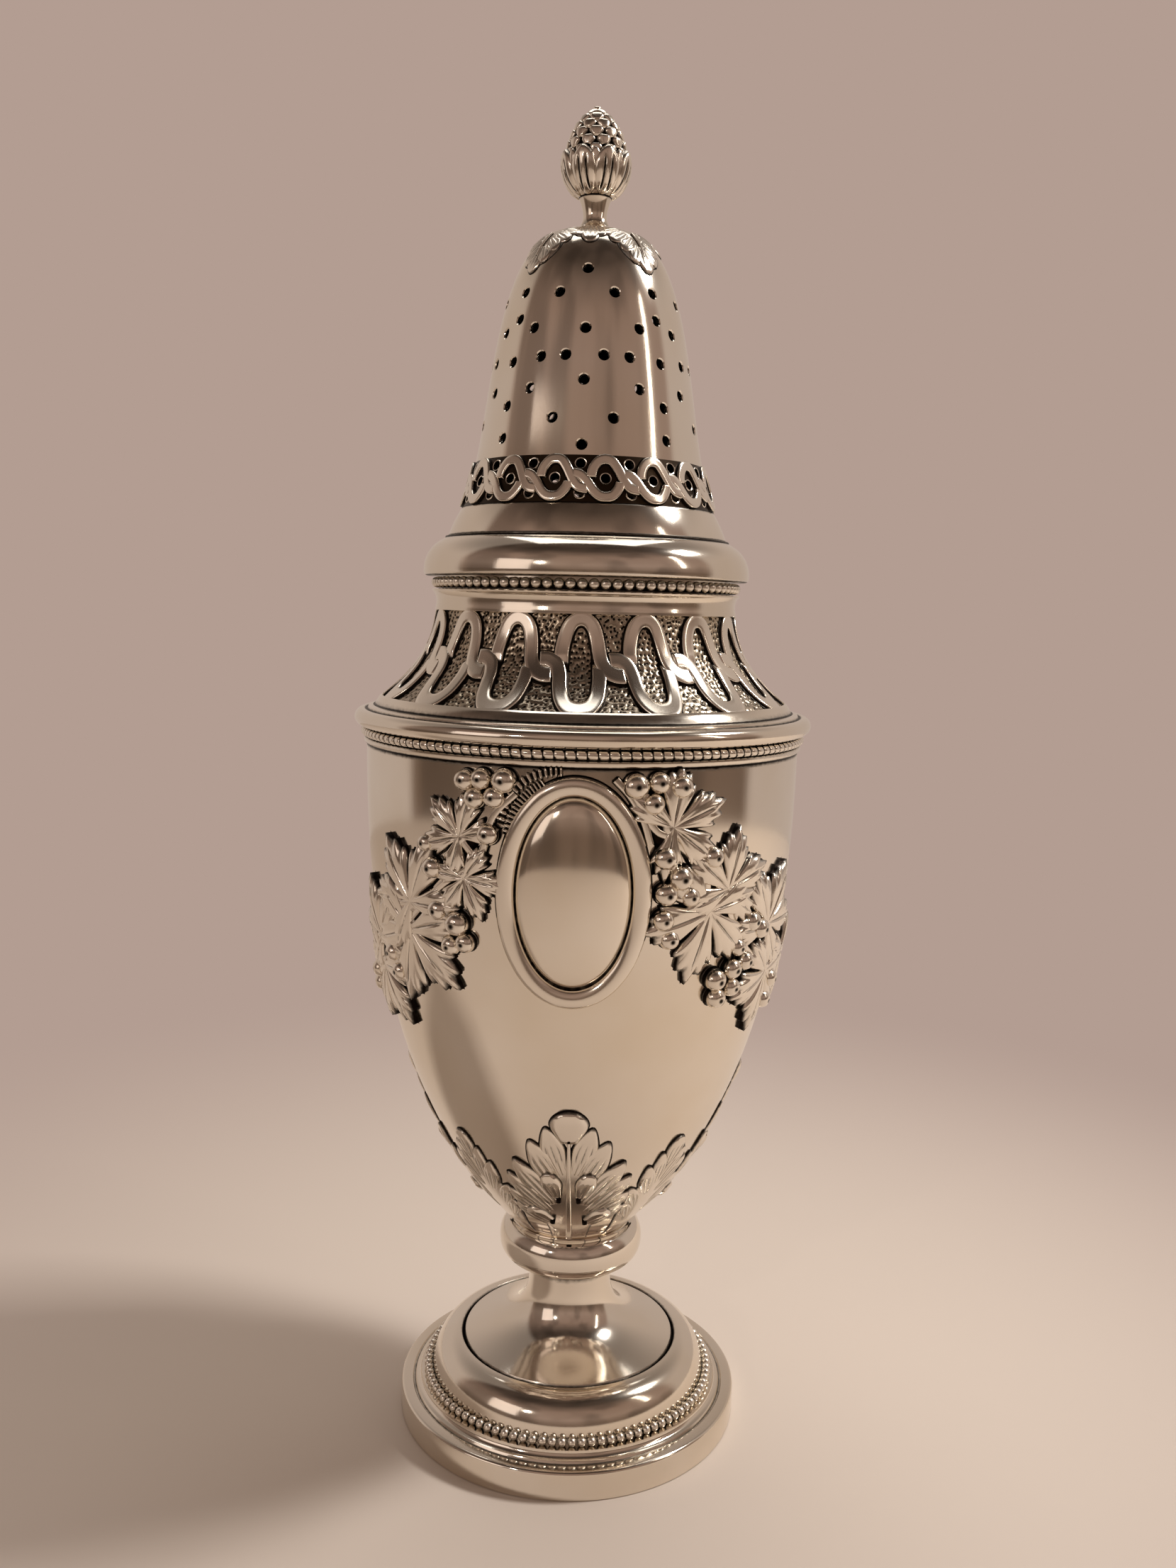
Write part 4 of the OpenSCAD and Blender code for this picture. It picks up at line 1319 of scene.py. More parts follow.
@dataclass
class Medallion(SubAssembly):
    """Oval frame with a plain boss."""

    vase: Vase
    height: float = 90.95
    half_w: float = 10.5
    half_h: float = 15.95
    steps: int = 160
    boss_gap: float = 2.66
    boss_edge: float = 0.4
    boss_lift: float = 1.75
    # Across the moulding from outside: distance in from the edge, lift and darkness, painted shade with
    # patina at its feet
    moulding: Section = (
        (-0.34, -0.03, 0.6),
        (-0.05, 0.04, 1.0),
        (0.0, 0.45, 0.8),
        (0.12, 0.8, 0.15),
        (0.4, 1.06, 0.0),
        (0.8, 1.22, 0.0),
        (1.25, 1.27, 0.0),
        (1.7, 1.2, 0.0),
        (2.05, 1.04, 0.0),
        (2.34, 0.86, 0.0),
        (2.54, 0.62, 0.0),
        (2.6, 0.4, 0.7),
        (2.68, 0.2, 0.9),
        (2.8, 0.05, 0.9),
    )

    def build(self) -> None:
        """Shapes and dresses the front medallion and the one behind."""
        for side, turn in (("front", 0.0), ("back", 180.0)):
            frame_piece = turned(self.moulded(f"{side}_oval_frame"), turn)
            self.dress(frame_piece, Slot.CHASED, CHASED, f"{side}_medallion_frame")
            boss = turned(self.boss(f"{side}_oval_boss"), turn)
            self.dress(boss, Slot.POLISHED, POLISHED, f"{side}_medallion_boss")

    def moulded(self, name: str) -> Piece:
        """Runs the moulding round the oval.

        Args:
            name: the piece's name.
        Returns:
            The frame.
        """
        surface, rows = self.vase.surface, np.array(self.moulding)
        blank = strip(self.steps, len(rows) - 1, name)

        def shaper(x: Array, y: Array) -> Laid:
            """Lays each row on its own oval.

            Args:
                x, y: the flat blank.
            Returns:
                Places and darkness.
            """
            a = -np.pi * x
            inset, lift, dark = rows[cell(y, len(rows))].T
            px, py = (self.half_w - inset) * np.cos(a), (self.half_h - inset) * np.sin(a)
            return surface.spread((0.0, self.height), px, py, lift), dark

        return closed(shaped(blank, shaper))

    def boss(self, name: str) -> Piece:
        """Raises the plain boss.

        Args:
            name: the piece's name.
        Returns:
            The boss.
        """
        surface = self.vase.surface
        w, h = self.half_w - self.boss_gap, self.half_h - self.boss_gap

        def shaper(x: Array, y: Array) -> Laid:
            """A smooth swelling with a rounded edge and a painted shadow round its foot.

            Args:
                x, y: the flat blank.
            Returns:
                Places and darkness.
            """
            on = Rings(x, y)
            lift = np.where(on.wall, 0.02, self.boss_edge + self.boss_lift * (1 - on.inner**2) ** 0.6)
            return surface.spread((0.0, self.height), w * on.x, h * on.y, lift), 0.8 * step(1.0, 1.08, on.r)

        return shaped(copied(self.chaser.fine, name), shaper)


@dataclass
class VineSwag(SubAssembly):
    """One vine swag, hung from the front medallion to the back one."""

    vase: Vase
    side: str
    leaves: Sequence[tuple[Point, Point]]
    grapes: Section
    stems: Sequence[Sequence[Point]]
    ribbons: Sequence[Sequence[Point]] = ()
    leaf_lift: float = 1.5
    stem_w: float = 1.0
    stem_t: float = 0.9
    stem_steps: int = 12
    ribbon_w: float = 1.25
    ribbon_t: float = 0.85
    ribbon_steps: int = 96
    hatches: int = 15
    hatch_depth: float = 0.26

    def build(self) -> None:
        """Chases and dresses the leaves, grapes and stems, and their like behind."""
        surface, chaser = self.vase.surface, self.chaser
        leaves, grapes, branch = [], [], []
        stem = strap_section(self.stem_w, self.stem_t)
        ribbon = strap_section(self.ribbon_w, self.ribbon_t)
        waves = np.linspace(0.0, 2 * math.pi * self.hatches, self.ribbon_steps)
        hatched = self.hatch_depth * (1 + np.sin(waves))
        # Each place as it is listed, and then on the back half
        for seen in (tuple, self.behind):
            leaves += [chaser.vine_leaf(surface, seen(a), seen(b), self.leaf_lift) for a, b in self.leaves]
            grapes += [chaser.grape(surface, seen((x, z)), radius) for x, z, radius in self.grapes]
            for route in self.stems:
                path = flowing([seen(p) for p in route], self.stem_steps * len(route))
                branch.append(swept("stem", surface, path, stem))
            for route in self.ribbons:
                path = flowing([seen(p) for p in route], self.ribbon_steps)
                # A ribbon is narrower where it is cut
                branch.append(swept("ribbon", surface, path, ribbon, hatched, 1.1 - hatched))
        for kind, parts in (("leaves", leaves), ("grapes", grapes), ("branch", branch)):
            piece = joined(parts, f"{self.side}_{kind}")
            self.dress(piece, Slot.CHASED, CHASED, f"{self.side}_vine_{kind}")

    @staticmethod
    def behind(place: Point) -> Point:
        """The same place on the back half of the swag."""
        return math.copysign(180.0, place[0]) - place[0], place[1]


# Leaves as stalk and tip, grapes as degrees, height and radius, stems and ribbons as points on their way
LEFT_LEAVES = (
    ((-27.5, 98.0), (-35.4, 102.6)), ((-44.2, 87.6), (-53.5, 95.8)), ((-26.4, 92.4), (-22.2, 87.0)),
    ((-45.1, 83.5), (-49.0, 73.2)), ((-62.0, 80.5), (-68.0, 88.5)), ((-63.0, 76.0), (-70.0, 67.5)),
    ((-82.0, 75.0), (-86.0, 66.5)),
)
RIGHT_LEAVES = (
    ((22.8, 100.2), (36.0, 103.4)), ((39.4, 91.1), (42.0, 99.2)), ((34.3, 88.2), (29.4, 78.8)),
    ((62.3, 76.8), (58.5, 68.6)), ((58.0, 84.5), (66.0, 92.5)), ((76.0, 78.0), (80.0, 70.0)),
)
LEFT_GRAPES = (
    (-26.0, 105.7, 1.5), (-21.8, 106.0, 1.5), (-16.2, 106.0, 1.7), (-23.4, 103.4, 1.5),
    (-18.6, 103.7, 1.5), (-20.1, 98.7, 1.5), (-35.6, 93.2, 1.5), (-34.4, 87.4, 1.5), (-28.8, 85.9, 1.7),
    (-31.2, 82.6, 1.4), (-26.9, 83.3, 1.4), (-37.9, 96.4, 1.2), (-55.0, 79.0, 1.4), (-52.5, 76.5, 1.4),
    (-73.0, 74.0, 1.4), (-76.0, 71.5, 1.4),
)
RIGHT_GRAPES = (
    (13.6, 105.8, 1.75), (19.0, 106.2, 1.5), (24.4, 105.6, 1.6), (17.8, 103.4, 1.5), (21.2, 96.1, 1.6),
    (25.3, 93.3, 1.7), (28.2, 90.6, 1.4), (21.9, 91.2, 1.6), (21.6, 87.6, 1.5), (23.6, 84.8, 1.4),
    (38.7, 78.1, 1.6), (39.9, 75.3, 1.5), (44.3, 79.2, 1.5), (45.2, 76.4, 1.4), (49.4, 79.9, 1.4),
    (34.0, 95.8, 1.5), (54.2, 84.2, 1.5), (50.1, 85.6, 1.4), (45.5, 82.2, 1.3), (68.0, 75.0, 1.4),
    (66.0, 72.0, 1.4),
)
LEFT_STEMS = (
    ((-13.5, 104.4), (-19.0, 101.0), (-23.0, 95.0), (-33.0, 91.0), (-43.0, 86.0), (-56.0, 79.5),
     (-72.0, 73.0), (-91.0, 70.5)),
    ((-23.0, 95.0), (-26.5, 97.2), (-27.6, 98.0)),
    ((-36.0, 90.0), (-37.0, 86.0), (-45.0, 84.0)),
)
RIGHT_STEMS = (
    ((13.5, 104.2), (18.5, 100.0), (23.0, 98.5), (31.0, 94.6), (38.0, 90.6), (45.0, 84.0), (56.0, 79.0),
     (72.0, 74.5), (91.0, 70.5)),
    ((33.0, 93.0), (33.5, 90.0), (34.3, 88.3)),
    ((9.0, 106.6), (12.5, 104.4), (15.5, 101.4), (17.5, 98.0)),
)
LEFT_RIBBONS = (
    ((-17.4, 100.2), (-16.0, 102.8), (-13.6, 105.0), (-10.2, 106.6), (-6.4, 107.3), (-3.0, 107.5)),
    ((-16.0, 98.8), (-13.9, 102.0), (-10.9, 104.4), (-7.2, 106.0)),
)


@dataclass
class Rim(SubAssembly):
    """Rounded moulding over the bowl, with its milled wire."""

    bowl_r: float = 32.75
    wall: float = 1.0
    round_r: float = 1.25
    wire_r: float = 0.66
    # Ribs of the wire: number, what a cut takes of its radius outwards and upwards, slant and narrowness
    ribs: int = 145
    rib_depth: Point = (0.34, 0.2)
    rib_slant: float = 0.25
    cut_power: int = 16

    def build(self) -> None:
        """Turns the moulding and mills the wire."""
        low, high = levels("rim_moulding")
        wire_low, wire_high = levels("rim_milled_wire")
        r, b = reach("rim_moulding"), self.bowl_r
        foot = r - 2.75
        middle = (r - self.round_r, wire_high + 0.15 + self.round_r)
        # Lower lip, channel of the wire, round and the step up to the shoulder
        profile = [(b - self.wall, low), (b + 0.1, low), (b + 0.3, low + 0.06), (b + 0.42, low + 0.3)]
        profile += [(b + 0.4, wire_low - 0.25), (b + 0.2, wire_low - 0.05), (b - 0.15, wire_low - 0.02)]
        profile += [(b - 0.15, wire_high), (b + 0.2, wire_high + 0.12)]
        profile += arc(middle, self.round_r, -70, 96, 16)
        profile += [(r - 1.75, high - 0.62), (r - 1.95, high - 0.5), (r - 2.05, high - 0.2), (foot, high)]
        profile += [(foot - 2.4, high)]
        # Painted shade with patina beside and behind the wire, in the step and under the lip
        dark = [(b + 0.1, wire_low, 0.4), (b + 0.2, wire_high + 0.1, 0.4), (r - 1.75, high - 0.6, 0.35)]
        dark += [(b + 0.1, low, 0.3), (b - 0.15, (wire_low + wire_high) / 2, 0.8)]
        self.dress(lathe("rim", profile, dark), Slot.POLISHED, POLISHED, "rim_moulding")
        self.wire()

    def wire(self) -> None:
        """Mills slanting ribs round a wire."""
        radius, height = self.bowl_r + 0.25, sum(levels("rim_milled_wire")) / 2
        wire = lathe("milled_wire", arc((radius, height), self.wire_r, 0, 337.5, 15), steps=self.ribs * 8)
        places = corners(wire) / MM
        r, z = np.hypot(places[:, 0], places[:, 1]), places[:, 2]
        turn = np.arctan2(places[:, 0], -places[:, 1])
        slant = self.rib_slant * (z - height) / self.wire_r
        cut = np.abs(np.cos(turn * self.ribs / 2 + slant)) ** self.cut_power
        r = radius + (r - radius) * (1 - self.rib_depth[0] * cut)
        z = height + (z - height) * (1 - self.rib_depth[1] * cut)
        move(wire, MM * np.stack([r * np.sin(turn), -r * np.cos(turn), z], axis=1))
        # Painted shade with patina in the cuts and at the back of the wire
        paint_patina_and_shade(wire, np.maximum(step(0.25, 0.8, cut), 1 - step(-0.1, 0.35, (r - radius) / self.wire_r)))
        self.dress(wire, Slot.BEADED, CHASED, "rim_milled_wire")


# Middle lines of a link's two straps: degrees from its middle, and share of the frieze's height
LINK_ARCH = (
    (-6.45, 0.385), (-6.2, 0.46), (-6.12, 0.53), (-6.15, 0.6), (-5.7, 0.7), (-4.5, 0.825), (-2.7, 0.9),
    (0.0, 0.928), (2.7, 0.9), (4.5, 0.825), (5.6, 0.7), (6.1, 0.6), (6.8, 0.5), (8.4, 0.42), (10.8, 0.381),
    (12.6, 0.374), (14.1, 0.378),
)
LINK_CUP = (
    (-13.4, 0.522), (-11.6, 0.527), (-9.7, 0.519), (-7.4, 0.468), (-6.15, 0.37), (-5.7, 0.262),
    (-4.8, 0.158), (-2.9, 0.08), (0.0, 0.054), (2.9, 0.08), (4.8, 0.16), (5.6, 0.265), (5.95, 0.34),
    (6.0, 0.398), (6.05, 0.455), (6.15, 0.51), (6.35, 0.565),
)
BAND_ARCH = (
    (-6.3, 0.5), (-6.2, 0.59), (-5.2, 0.73), (-2.9, 0.86), (0.0, 0.9), (2.9, 0.86), (5.2, 0.72),
    (6.9, 0.57), (8.7, 0.41), (10.6, 0.315), (13.0, 0.28), (14.6, 0.28),
)
BAND_CUP = (
    (-14.4, 0.585), (-12.8, 0.58), (-10.8, 0.54), (-8.9, 0.455), (-7.2, 0.345), (-5.3, 0.22),
    (-2.9, 0.125), (0.0, 0.1), (2.9, 0.14), (5.2, 0.27), (6.2, 0.37), (6.4, 0.42),
)
# Points along a strap, and how far it dips under the next one, as a share of its thickness
STRAP_STEPS, STRAP_DIP = 84, 0.78


def guilloche(
    surface: Surface,
    routes: Sequence[Sequence[Point]],
    span: Point,
    width: float,
    lift: float,
    count: int,
    under: float,
) -> Piece:
    """Links straps round a frieze: in each link one strap goes over the top and one under the bottom.

    Args:
        surface: what they lie on.
        routes: middle lines of the strap over the top and the strap under the bottom.
        span: lowest and highest level of the frieze.
        width: width of a strap.
        lift: thickness of a strap.
        count: number of links.
        under: share of a strap that dips under the next one.
    Returns:
        The ring of links.
    """
    straps, t = [], np.linspace(0, 1, STRAP_STEPS)
    for route, way in zip(routes, (t, 1 - t)):
        path = flowing([(x, span[0] + y * (span[1] - span[0])) for x, y in route], STRAP_STEPS)
        # Both ends go into the metal, and one end dips under the next strap
        tuck = lift * (1 - step(0.0, 0.02, way)) + lift * step(0.98, 1.0, way)
        tuck += STRAP_DIP * lift * (1 - step(under - 0.1, under, way))
        wide = 1 + 0.05 * step(0.72, 0.85, way)
        straps.append(swept("strap", surface, path, strap_section(width, lift), tuck, wide, level=True))
    return ring_of(joined(straps, "link"), count)


@dataclass
class Shoulder(SubAssembly):
    """Concave shoulder with its linked frieze, the neck's collar, bead wire and sleeve."""

    links: int = 16
    strap_w: float = 1.95
    strap_t: float = 0.5
    # Share of each strap that dips, and the shares of the outline that the frieze's plain borders end at
    strap_under: float = 0.165
    border: Point = (0.035, 0.965)
    wall: float = 1.2
    bead_d: float = 1.56
    bead_rise: float = 0.2
    bead_count: int = 89
    bead_overhang: float = 0.4
    bead_oxide_and_shade: float = 0.9
    frieze_margin: float = 0.8
    frieze_step: float = 1.2
    neck_r: float = 22.2
    collar_r: float = 22.9
    collar_h: float = 2.0
    bore: float = 21.0
    lip_h: float = 1.9
    sleeve_wall: float = 0.9
    # Pits of the stippled ground: number in a row, rows, radius, depth and how far they stray
    pits: int = 230
    pit_rows: int = 22
    pit_r: float = 0.27
    pit_depth: float = 0.22
    pit_stray: float = 0.4
    pit_seed: int = 5
    # How far the turned metal lies below the pitted ground, in depths of a pit
    ground_drop: float = 1.6

    def build(self) -> None:
        """Turns the shoulder and sleeve, and lays the links and beads."""
        low, top = levels("shoulder")
        neck = top - self.lip_h
        foot = reach("shoulder")
        span = (low + self.frieze_margin, neck - self.collar_h - self.frieze_margin)
        height, draw = span[1] - span[0], foot - self.frieze_step - self.neck_r
        frieze = bezier(
            (self.neck_r + draw, span[0]),
            (self.neck_r + 0.5 * draw, span[0] + 0.226 * height),
            (self.neck_r + 0.035 * draw, span[0] + 0.54 * height),
            (self.neck_r, span[1]),
            64,
        )
        surface = Surface(frieze)
        share = surface.s / surface.s[-1]
        bordering = (share < self.border[0]) | (share > self.border[1])
        raised = np.where(bordering, self.strap_t, -self.ground_drop * self.pit_depth)
        ground = np.stack([surface.r, surface.z], axis=1) + raised[:, None] * surface.out
        bordered = [(float(r), float(z)) for r, z in ground]
        edge, c = bordered[-1][0], self.collar_r
        # Collar above the frieze, with a small round at its top
        low_handle, high_handle = (edge - 0.25, span[1] + 1.0), (edge - 0.2, span[1] + 1.9)
        collar = bezier((edge, span[1] + 0.1), low_handle, high_handle, (c + 0.1, neck - 0.4), 10)
        collar += [(c + 0.25, neck - 0.3), (c + 0.3, neck - 0.1), (c + 0.2, neck)]
        bead_r = c + self.bead_overhang - self.bead_d / 2
        lip_r = bead_r - self.bead_d / 2 - 0.05
        lip = [(lip_r, neck), (lip_r, top), (self.bore, top)]
        outside = [(foot, low), (foot - 0.2, low + 0.05), (foot - 0.35, low + 0.3)] + bordered
        inside = shell([(foot, low)] + frieze + [(self.neck_r, neck)], self.wall)[len(frieze) + 2 :]
        # Painted shade with patina behind the beads and along the foot of the shoulder
        dark = [(lip_r, neck + 0.7, 1.1), (foot - 0.25, low + 0.1, 0.25), (foot, low, 0.25)]
        piece = lathe("neck_shoulder", outside + collar + lip + inside, dark)
        self.dress(piece, Slot.POLISHED, POLISHED, "shoulder")
        self.stipple(surface)
        size = self.strap_w, self.strap_t, self.links, self.strap_under
        links = guilloche(surface, (LINK_ARCH, LINK_CUP), span, *size)
        links.name = "guilloche_links"
        self.dress(links, Slot.CHASED, CHASED, "shoulder_guilloche")
        bead_z = neck + self.bead_rise
        beads = bead_ring("neck_beads", self.bead_d, bead_r, bead_z, self.bead_count, self.bead_oxide_and_shade)
        self.dress(beads, Slot.BEADED, BEADED, "neck_bead_wire")
        self.sleeve()

    def stipple(self, surface: Surface) -> None:
        """Punches close-set round pits into the frieze's ground.

        Args:
            surface: the frieze.
        """
        blank = strip(4 * self.pits, 4 * self.pit_rows, "stippled_ground")
        draws = np.random.default_rng(self.pit_seed)
        scatter = draws.uniform(-self.pit_stray, self.pit_stray, (2, self.pits, self.pit_rows + 2))
        row_h = surface.s[-1] / self.pit_rows

        def shaper(x: Array, y: Array) -> Laid:
            """Sinks each vertex by the pit that it lies in.

            Args:
                x, y: the flat blank.
            Returns:
                Places and darkness.
            """
            s = (y + 1) / 2 * surface.s[-1]
            across = 2 * np.pi * surface.radius(s) / self.pits
            u, v = (x + 1) / 2 * self.pits, s / row_h
            sunk = np.zeros(len(x))
            for step_u in (-1, 0, 1):
                for step_v in (-1, 0, 1):
                    row = np.clip(np.floor(v) + step_v, -1, self.pit_rows).astype(int)
                    column = np.floor(u).astype(int) + step_u
                    drift = scatter[:, column % self.pits, row + 1]
                    off_u = (u - column - 0.25 - 0.5 * (row % 2) - drift[0]) * across
                    off_v = (v - row - 0.5 - drift[1]) * row_h
                    sunk = np.maximum(sunk, np.exp(-(off_u**2 + off_v**2) / self.pit_r**2))
            # The pits are painted dark, as shade with patina
            return surface.lay(np.pi * x, s, -0.02 - self.pit_depth * sunk), step(0.3, 0.85, sunk)

        ground = closed(shaped(blank, shaper))
        self.dress(ground, Slot.CHASED, STIPPLED)

    def sleeve(self) -> None:
        """Turns the plain sleeve that the cover slips over."""
        low, high = levels("neck_bezel")
        r, inside = reach("neck_bezel"), reach("neck_bezel") - self.sleeve_wall
        profile = [(inside, low), (r, low), (r, high - 0.4)]
        profile += arc((r - 0.3, high - 0.3), 0.3, 0, 90, 4) + [(inside, high)]
        self.dress(lathe("neck_sleeve", profile), Slot.POLISHED, DULL, "neck_bezel")


@dataclass
class Cover(SubAssembly):
    """Pull-off cover: flange, cove, pierced band, pierced dome and crown leaves."""

    body = Body.COVER
    turn: float = -2.5
    wall: float = 1.0
    bore: float = 21.25
    flange_drop: float = 0.22
    cove_r: float = 20.9
    band_r: float = 18.85
    dome_r: float = 16.95
    crown_r: float = 4.6
    peg_r: float = 1.55
    hole_d: float = 1.45
    # Countersink of a hole: how much wider and how deep it is
    sink: Point = (0.17, 0.16)
    drill_reach: float = 2.2
    burr_r: float = 0.1
    # Links of the band, with the share of each strap that dips
    eyes: int = 16
    strap_w: float = 1.38
    strap_t: float = 0.5
    strap_under: float = 0.03
    # Sugar holes of a quarter: middle of each motif, then degrees from it and share of the dome's height
    motifs: Sequence = (
        (0, ((0, 0.777), (17.5, 0.678), (0, 0.525), (10.5, 0.414), (0, 0.312), (15.5, 0.156), (0, 0.044))),
        (45, ((0, 0.694), (0, 0.58), (13, 0.534), (20, 0.411), (0, 0.4), (15, 0.282), (0, 0.216), (0, 0.08))),
    )
    # Pairs of lobes of a crown leaf: tip, start, width and lift, in degrees from its midrib and shares of
    # the dome's height, then the depth of their flutes and how pointed they are
    crown_fan: Sequence = (
        ((38.0, 0.94), (12.0, 0.975), 2.5, 0.26),
        ((28.0, 0.905), (8.0, 0.955), 2.9, 0.3),
        ((19.0, 0.865), (5.0, 0.93), 3.0, 0.34),
        ((11.0, 0.815), (3.0, 0.9), 3.0, 0.38),
    )
    crown_groove: float = 0.3
    crown_point: float = 0.4
    # Its blade and its tip, then the short leaf's side lobes and middle lobe, in degrees from the short leaf
    crown_lobes: Sequence[Lobe] = (
        Lobe((45.0, 0.985), (45.0, 0.8), 8.6, 0.18, 0.0),
        Lobe((45.0, 0.9), (45.0, 0.775), 3.6, 0.44, 0.3, 0.4),
        Lobe((-5.0, 0.985), (-11.0, 0.925), 2.6, 0.3),
        Lobe((5.0, 0.985), (11.0, 0.925), 2.6, 0.3),
        Lobe((0.0, 0.985), (0.0, 0.895), 3.0, 0.4),
    )
    # Its midrib: shares of the dome's height along it, width, lift, skirt and width at its ends
    crown_rib: Sequence[float] = (0.955, 0.94, 0.92, 0.89, 0.85)
    rib_steps: int = 24
    rib_size: Row = (0.5, 0.36, 0.1)
    rib_taper: Point = (1.2, 0.5)

    def __post_init__(self) -> None:
        """Works out the outside of the dome."""
        low, high = levels("cover_dome")
        rise, draw = high - low, self.dome_r - self.crown_r
        self.outside = bezier(
            (self.dome_r, low),
            (self.dome_r - 0.2 * draw, low + 0.35 * rise),
            (self.dome_r - 0.254 * draw, high - 0.032 * rise),
            (self.crown_r, high),
            80,
        )
        self.surface = Surface(self.outside)

    def build(self) -> None:
        """Turns the shells, drills the dome and lays the straps and leaves."""
        self.low_rings()
        self.band()
        self.dome()
        self.crown()

    def low_rings(self) -> None:
        """Turns the flange and the cove."""
        low, high = levels("cover_flange")
        low -= self.flange_drop
        r, h, c = reach("cover_flange"), high - low, self.cove_r
        # Underside, swelling side, small step and inside
        start, end = (r - 0.02, low + 0.55), (c + 0.5, high - 0.3)
        profile = [(self.bore, low), (r - 0.4, low), (r - 0.12, low + 0.2)]
        profile += bezier(start, (r + 0.02, low + 0.57 * h), (c + 2.2, low + 0.8 * h), end, 24)
        profile += [(c + 0.4, high - 0.2), (c + 0.4, high), (c - self.wall, high), (self.bore, high - 0.8)]
        # Painted shade with patina under the flange and in its small step
        dark = [(r - 0.5, low, 0.3), (c + 0.4, high - 0.2, 0.25)]
        flange = lathe("cover_foot_round", profile, dark)
        self.dress(flange, Slot.POLISHED, POLISHED, "cover_flange")
        low, high = levels("cover_cove")
        h, draw = high - low, self.cove_r - self.band_r
        outside = bezier(
            (self.cove_r, low),
            (self.cove_r - 0.2 * draw, low + 0.3 * h),
            (self.band_r + 0.4 * draw, high - 0.3 * h),
            (self.band_r, high),
            20,
        )
        # Painted shade with patina at the cove's foot and top
        dark = [(self.cove_r, low, 0.25), (self.band_r, high, 0.3)]
        cove = lathe("cover_hollow", shell(outside, self.wall), dark)
        self.dress(cove, Slot.POLISHED, POLISHED, "cover_cove")

    def band(self) -> None:
        """Lays linked straps on the pierced band, and a burr round each of its holes."""
        low, high = levels("cover_pierced_band")
        middle = (low + high) / 2
        halfway = ((self.band_r + self.dome_r) / 2, middle)
        surface = Surface([(self.band_r, low), halfway, (self.dome_r, high)])
        size = self.strap_w, self.strap_t, self.eyes, self.strap_under
        links = guilloche(surface, (BAND_ARCH, BAND_CUP), (low, high), *size)
        turned(links, self.turn + 180 / self.eyes).name = "band_links"
        self.dress(links, Slot.CHASED, CHASED, "cover_band_straps")
        # The band's ground is near-black metal, patina with painted shade under the straps
        self.polisher.dress_node("cover_pierced_band", SHADED_RECESS)
        edge = self.hole_d / 2 + 0.5
        burrs = []
        for degrees, height in ((180 / self.eyes, middle), (0.0, low + edge), (0.0, high - edge)):
            burr = lathe("burr", arc((self.hole_d / 2 + 0.06, 0.02), self.burr_r, 0, 288, 4), steps=18)
            burr.data.transform(surface.seat((self.turn + degrees, height)))
            burrs.append(burr)
        burrs = ring_of(joined(burrs, "hole_burrs"), self.eyes)
        self.dress(burrs, Slot.PIERCED, CHASED)

    def dome(self) -> None:
        """Turns the dome and drills its sugar holes with a countersunk drill."""
        low, high = levels("cover_dome")
        roof, surface = high - self.wall, self.surface
        inside = [p for p in shell(self.outside, self.wall)[len(self.outside) :] if p[1] < roof - 0.2]
        profile = self.outside + [(self.peg_r, high), (self.peg_r, roof), (3.6, roof)] + inside
        dome = lathe("pierced_dome", profile)
        bit_r, reach_in = self.hole_d / 2, -self.drill_reach
        wide = bit_r + self.sink[0]
        bit = [(0.0, reach_in), (bit_r, reach_in), (bit_r, -self.sink[1])]
        bit += [(wide, 0.03), (wide, 1.0), (0.0, 1.0)]
        drill = lathe("drill", bit, steps=20)
        bits = []
        for quarter in range(4):
            for middle, pattern in self.motifs:
                for off, share in pattern:
                    # A hole off the middle of its motif has another on the other side
                    for side in (-1, 1) if off else (1,):
                        place = (self.turn + 90 * quarter + middle + side * off, low + share * (high - low))
                        bits.append(copied(drill, "bit"))
                        bits[-1].data.transform(surface.seat(place))
        drills = joined(bits, "drills")
        applied(dome, "BOOLEAN", operation="DIFFERENCE", solver="EXACT", object=drills)
        for used in (drill, drills):
            bpy.data.objects.remove(used)
        bpy.ops.object.shade_smooth_by_angle(angle=DRILLED_CREASE)
        # Hole walls and the inside are painted dark, as shade with patina
        places = corners(dome) / MM
        depth = np.interp(places[:, 2], surface.z, surface.r) - np.hypot(places[:, 0], places[:, 1])
        lean = np.interp(places[:, 2], surface.z, surface.out[:, 0])
        paint_patina_and_shade(dome, step(0.1, 0.3, depth * lean))
        self.dress(dome, Slot.PIERCED, POLISHED, "cover_dome")

    def crown(self) -> None:
        """Chases four leaves round the top, with a short leaf between each two."""
        low, high = levels("cover_dome")
        rise, surface = high - low, self.surface

        def at(degrees: float, share: float) -> Point:
            """A place on the dome."""
            return self.turn + degrees, low + share * rise

        fan = []
        for (tip_x, tip_share), (base_x, base_share), width, lift in self.crown_fan:
            fan.append(((tip_x, low + tip_share * rise), (base_x, low + base_share * rise), width, lift))
        parts = self.chaser.fan(surface, self.turn + 45, fan, self.crown_groove, self.crown_point)
        for lobe in self.crown_lobes:
            parts.append(self.chaser.lobe(surface, replace(lobe, base=at(*lobe.base), tip=at(*lobe.tip))))
        rib = flowing([at(45, share) for share in self.crown_rib], self.rib_steps)
        tapering = np.linspace(*self.rib_taper, self.rib_steps)
        parts.append(swept("rib", surface, rib, strap_section(*self.rib_size), swell=tapering))
        leaves = ring_of(joined(parts, "crown_acanthus"), 4)
        self.dress(leaves, Slot.CHASED, CHASED, "cover_crown_leaves")


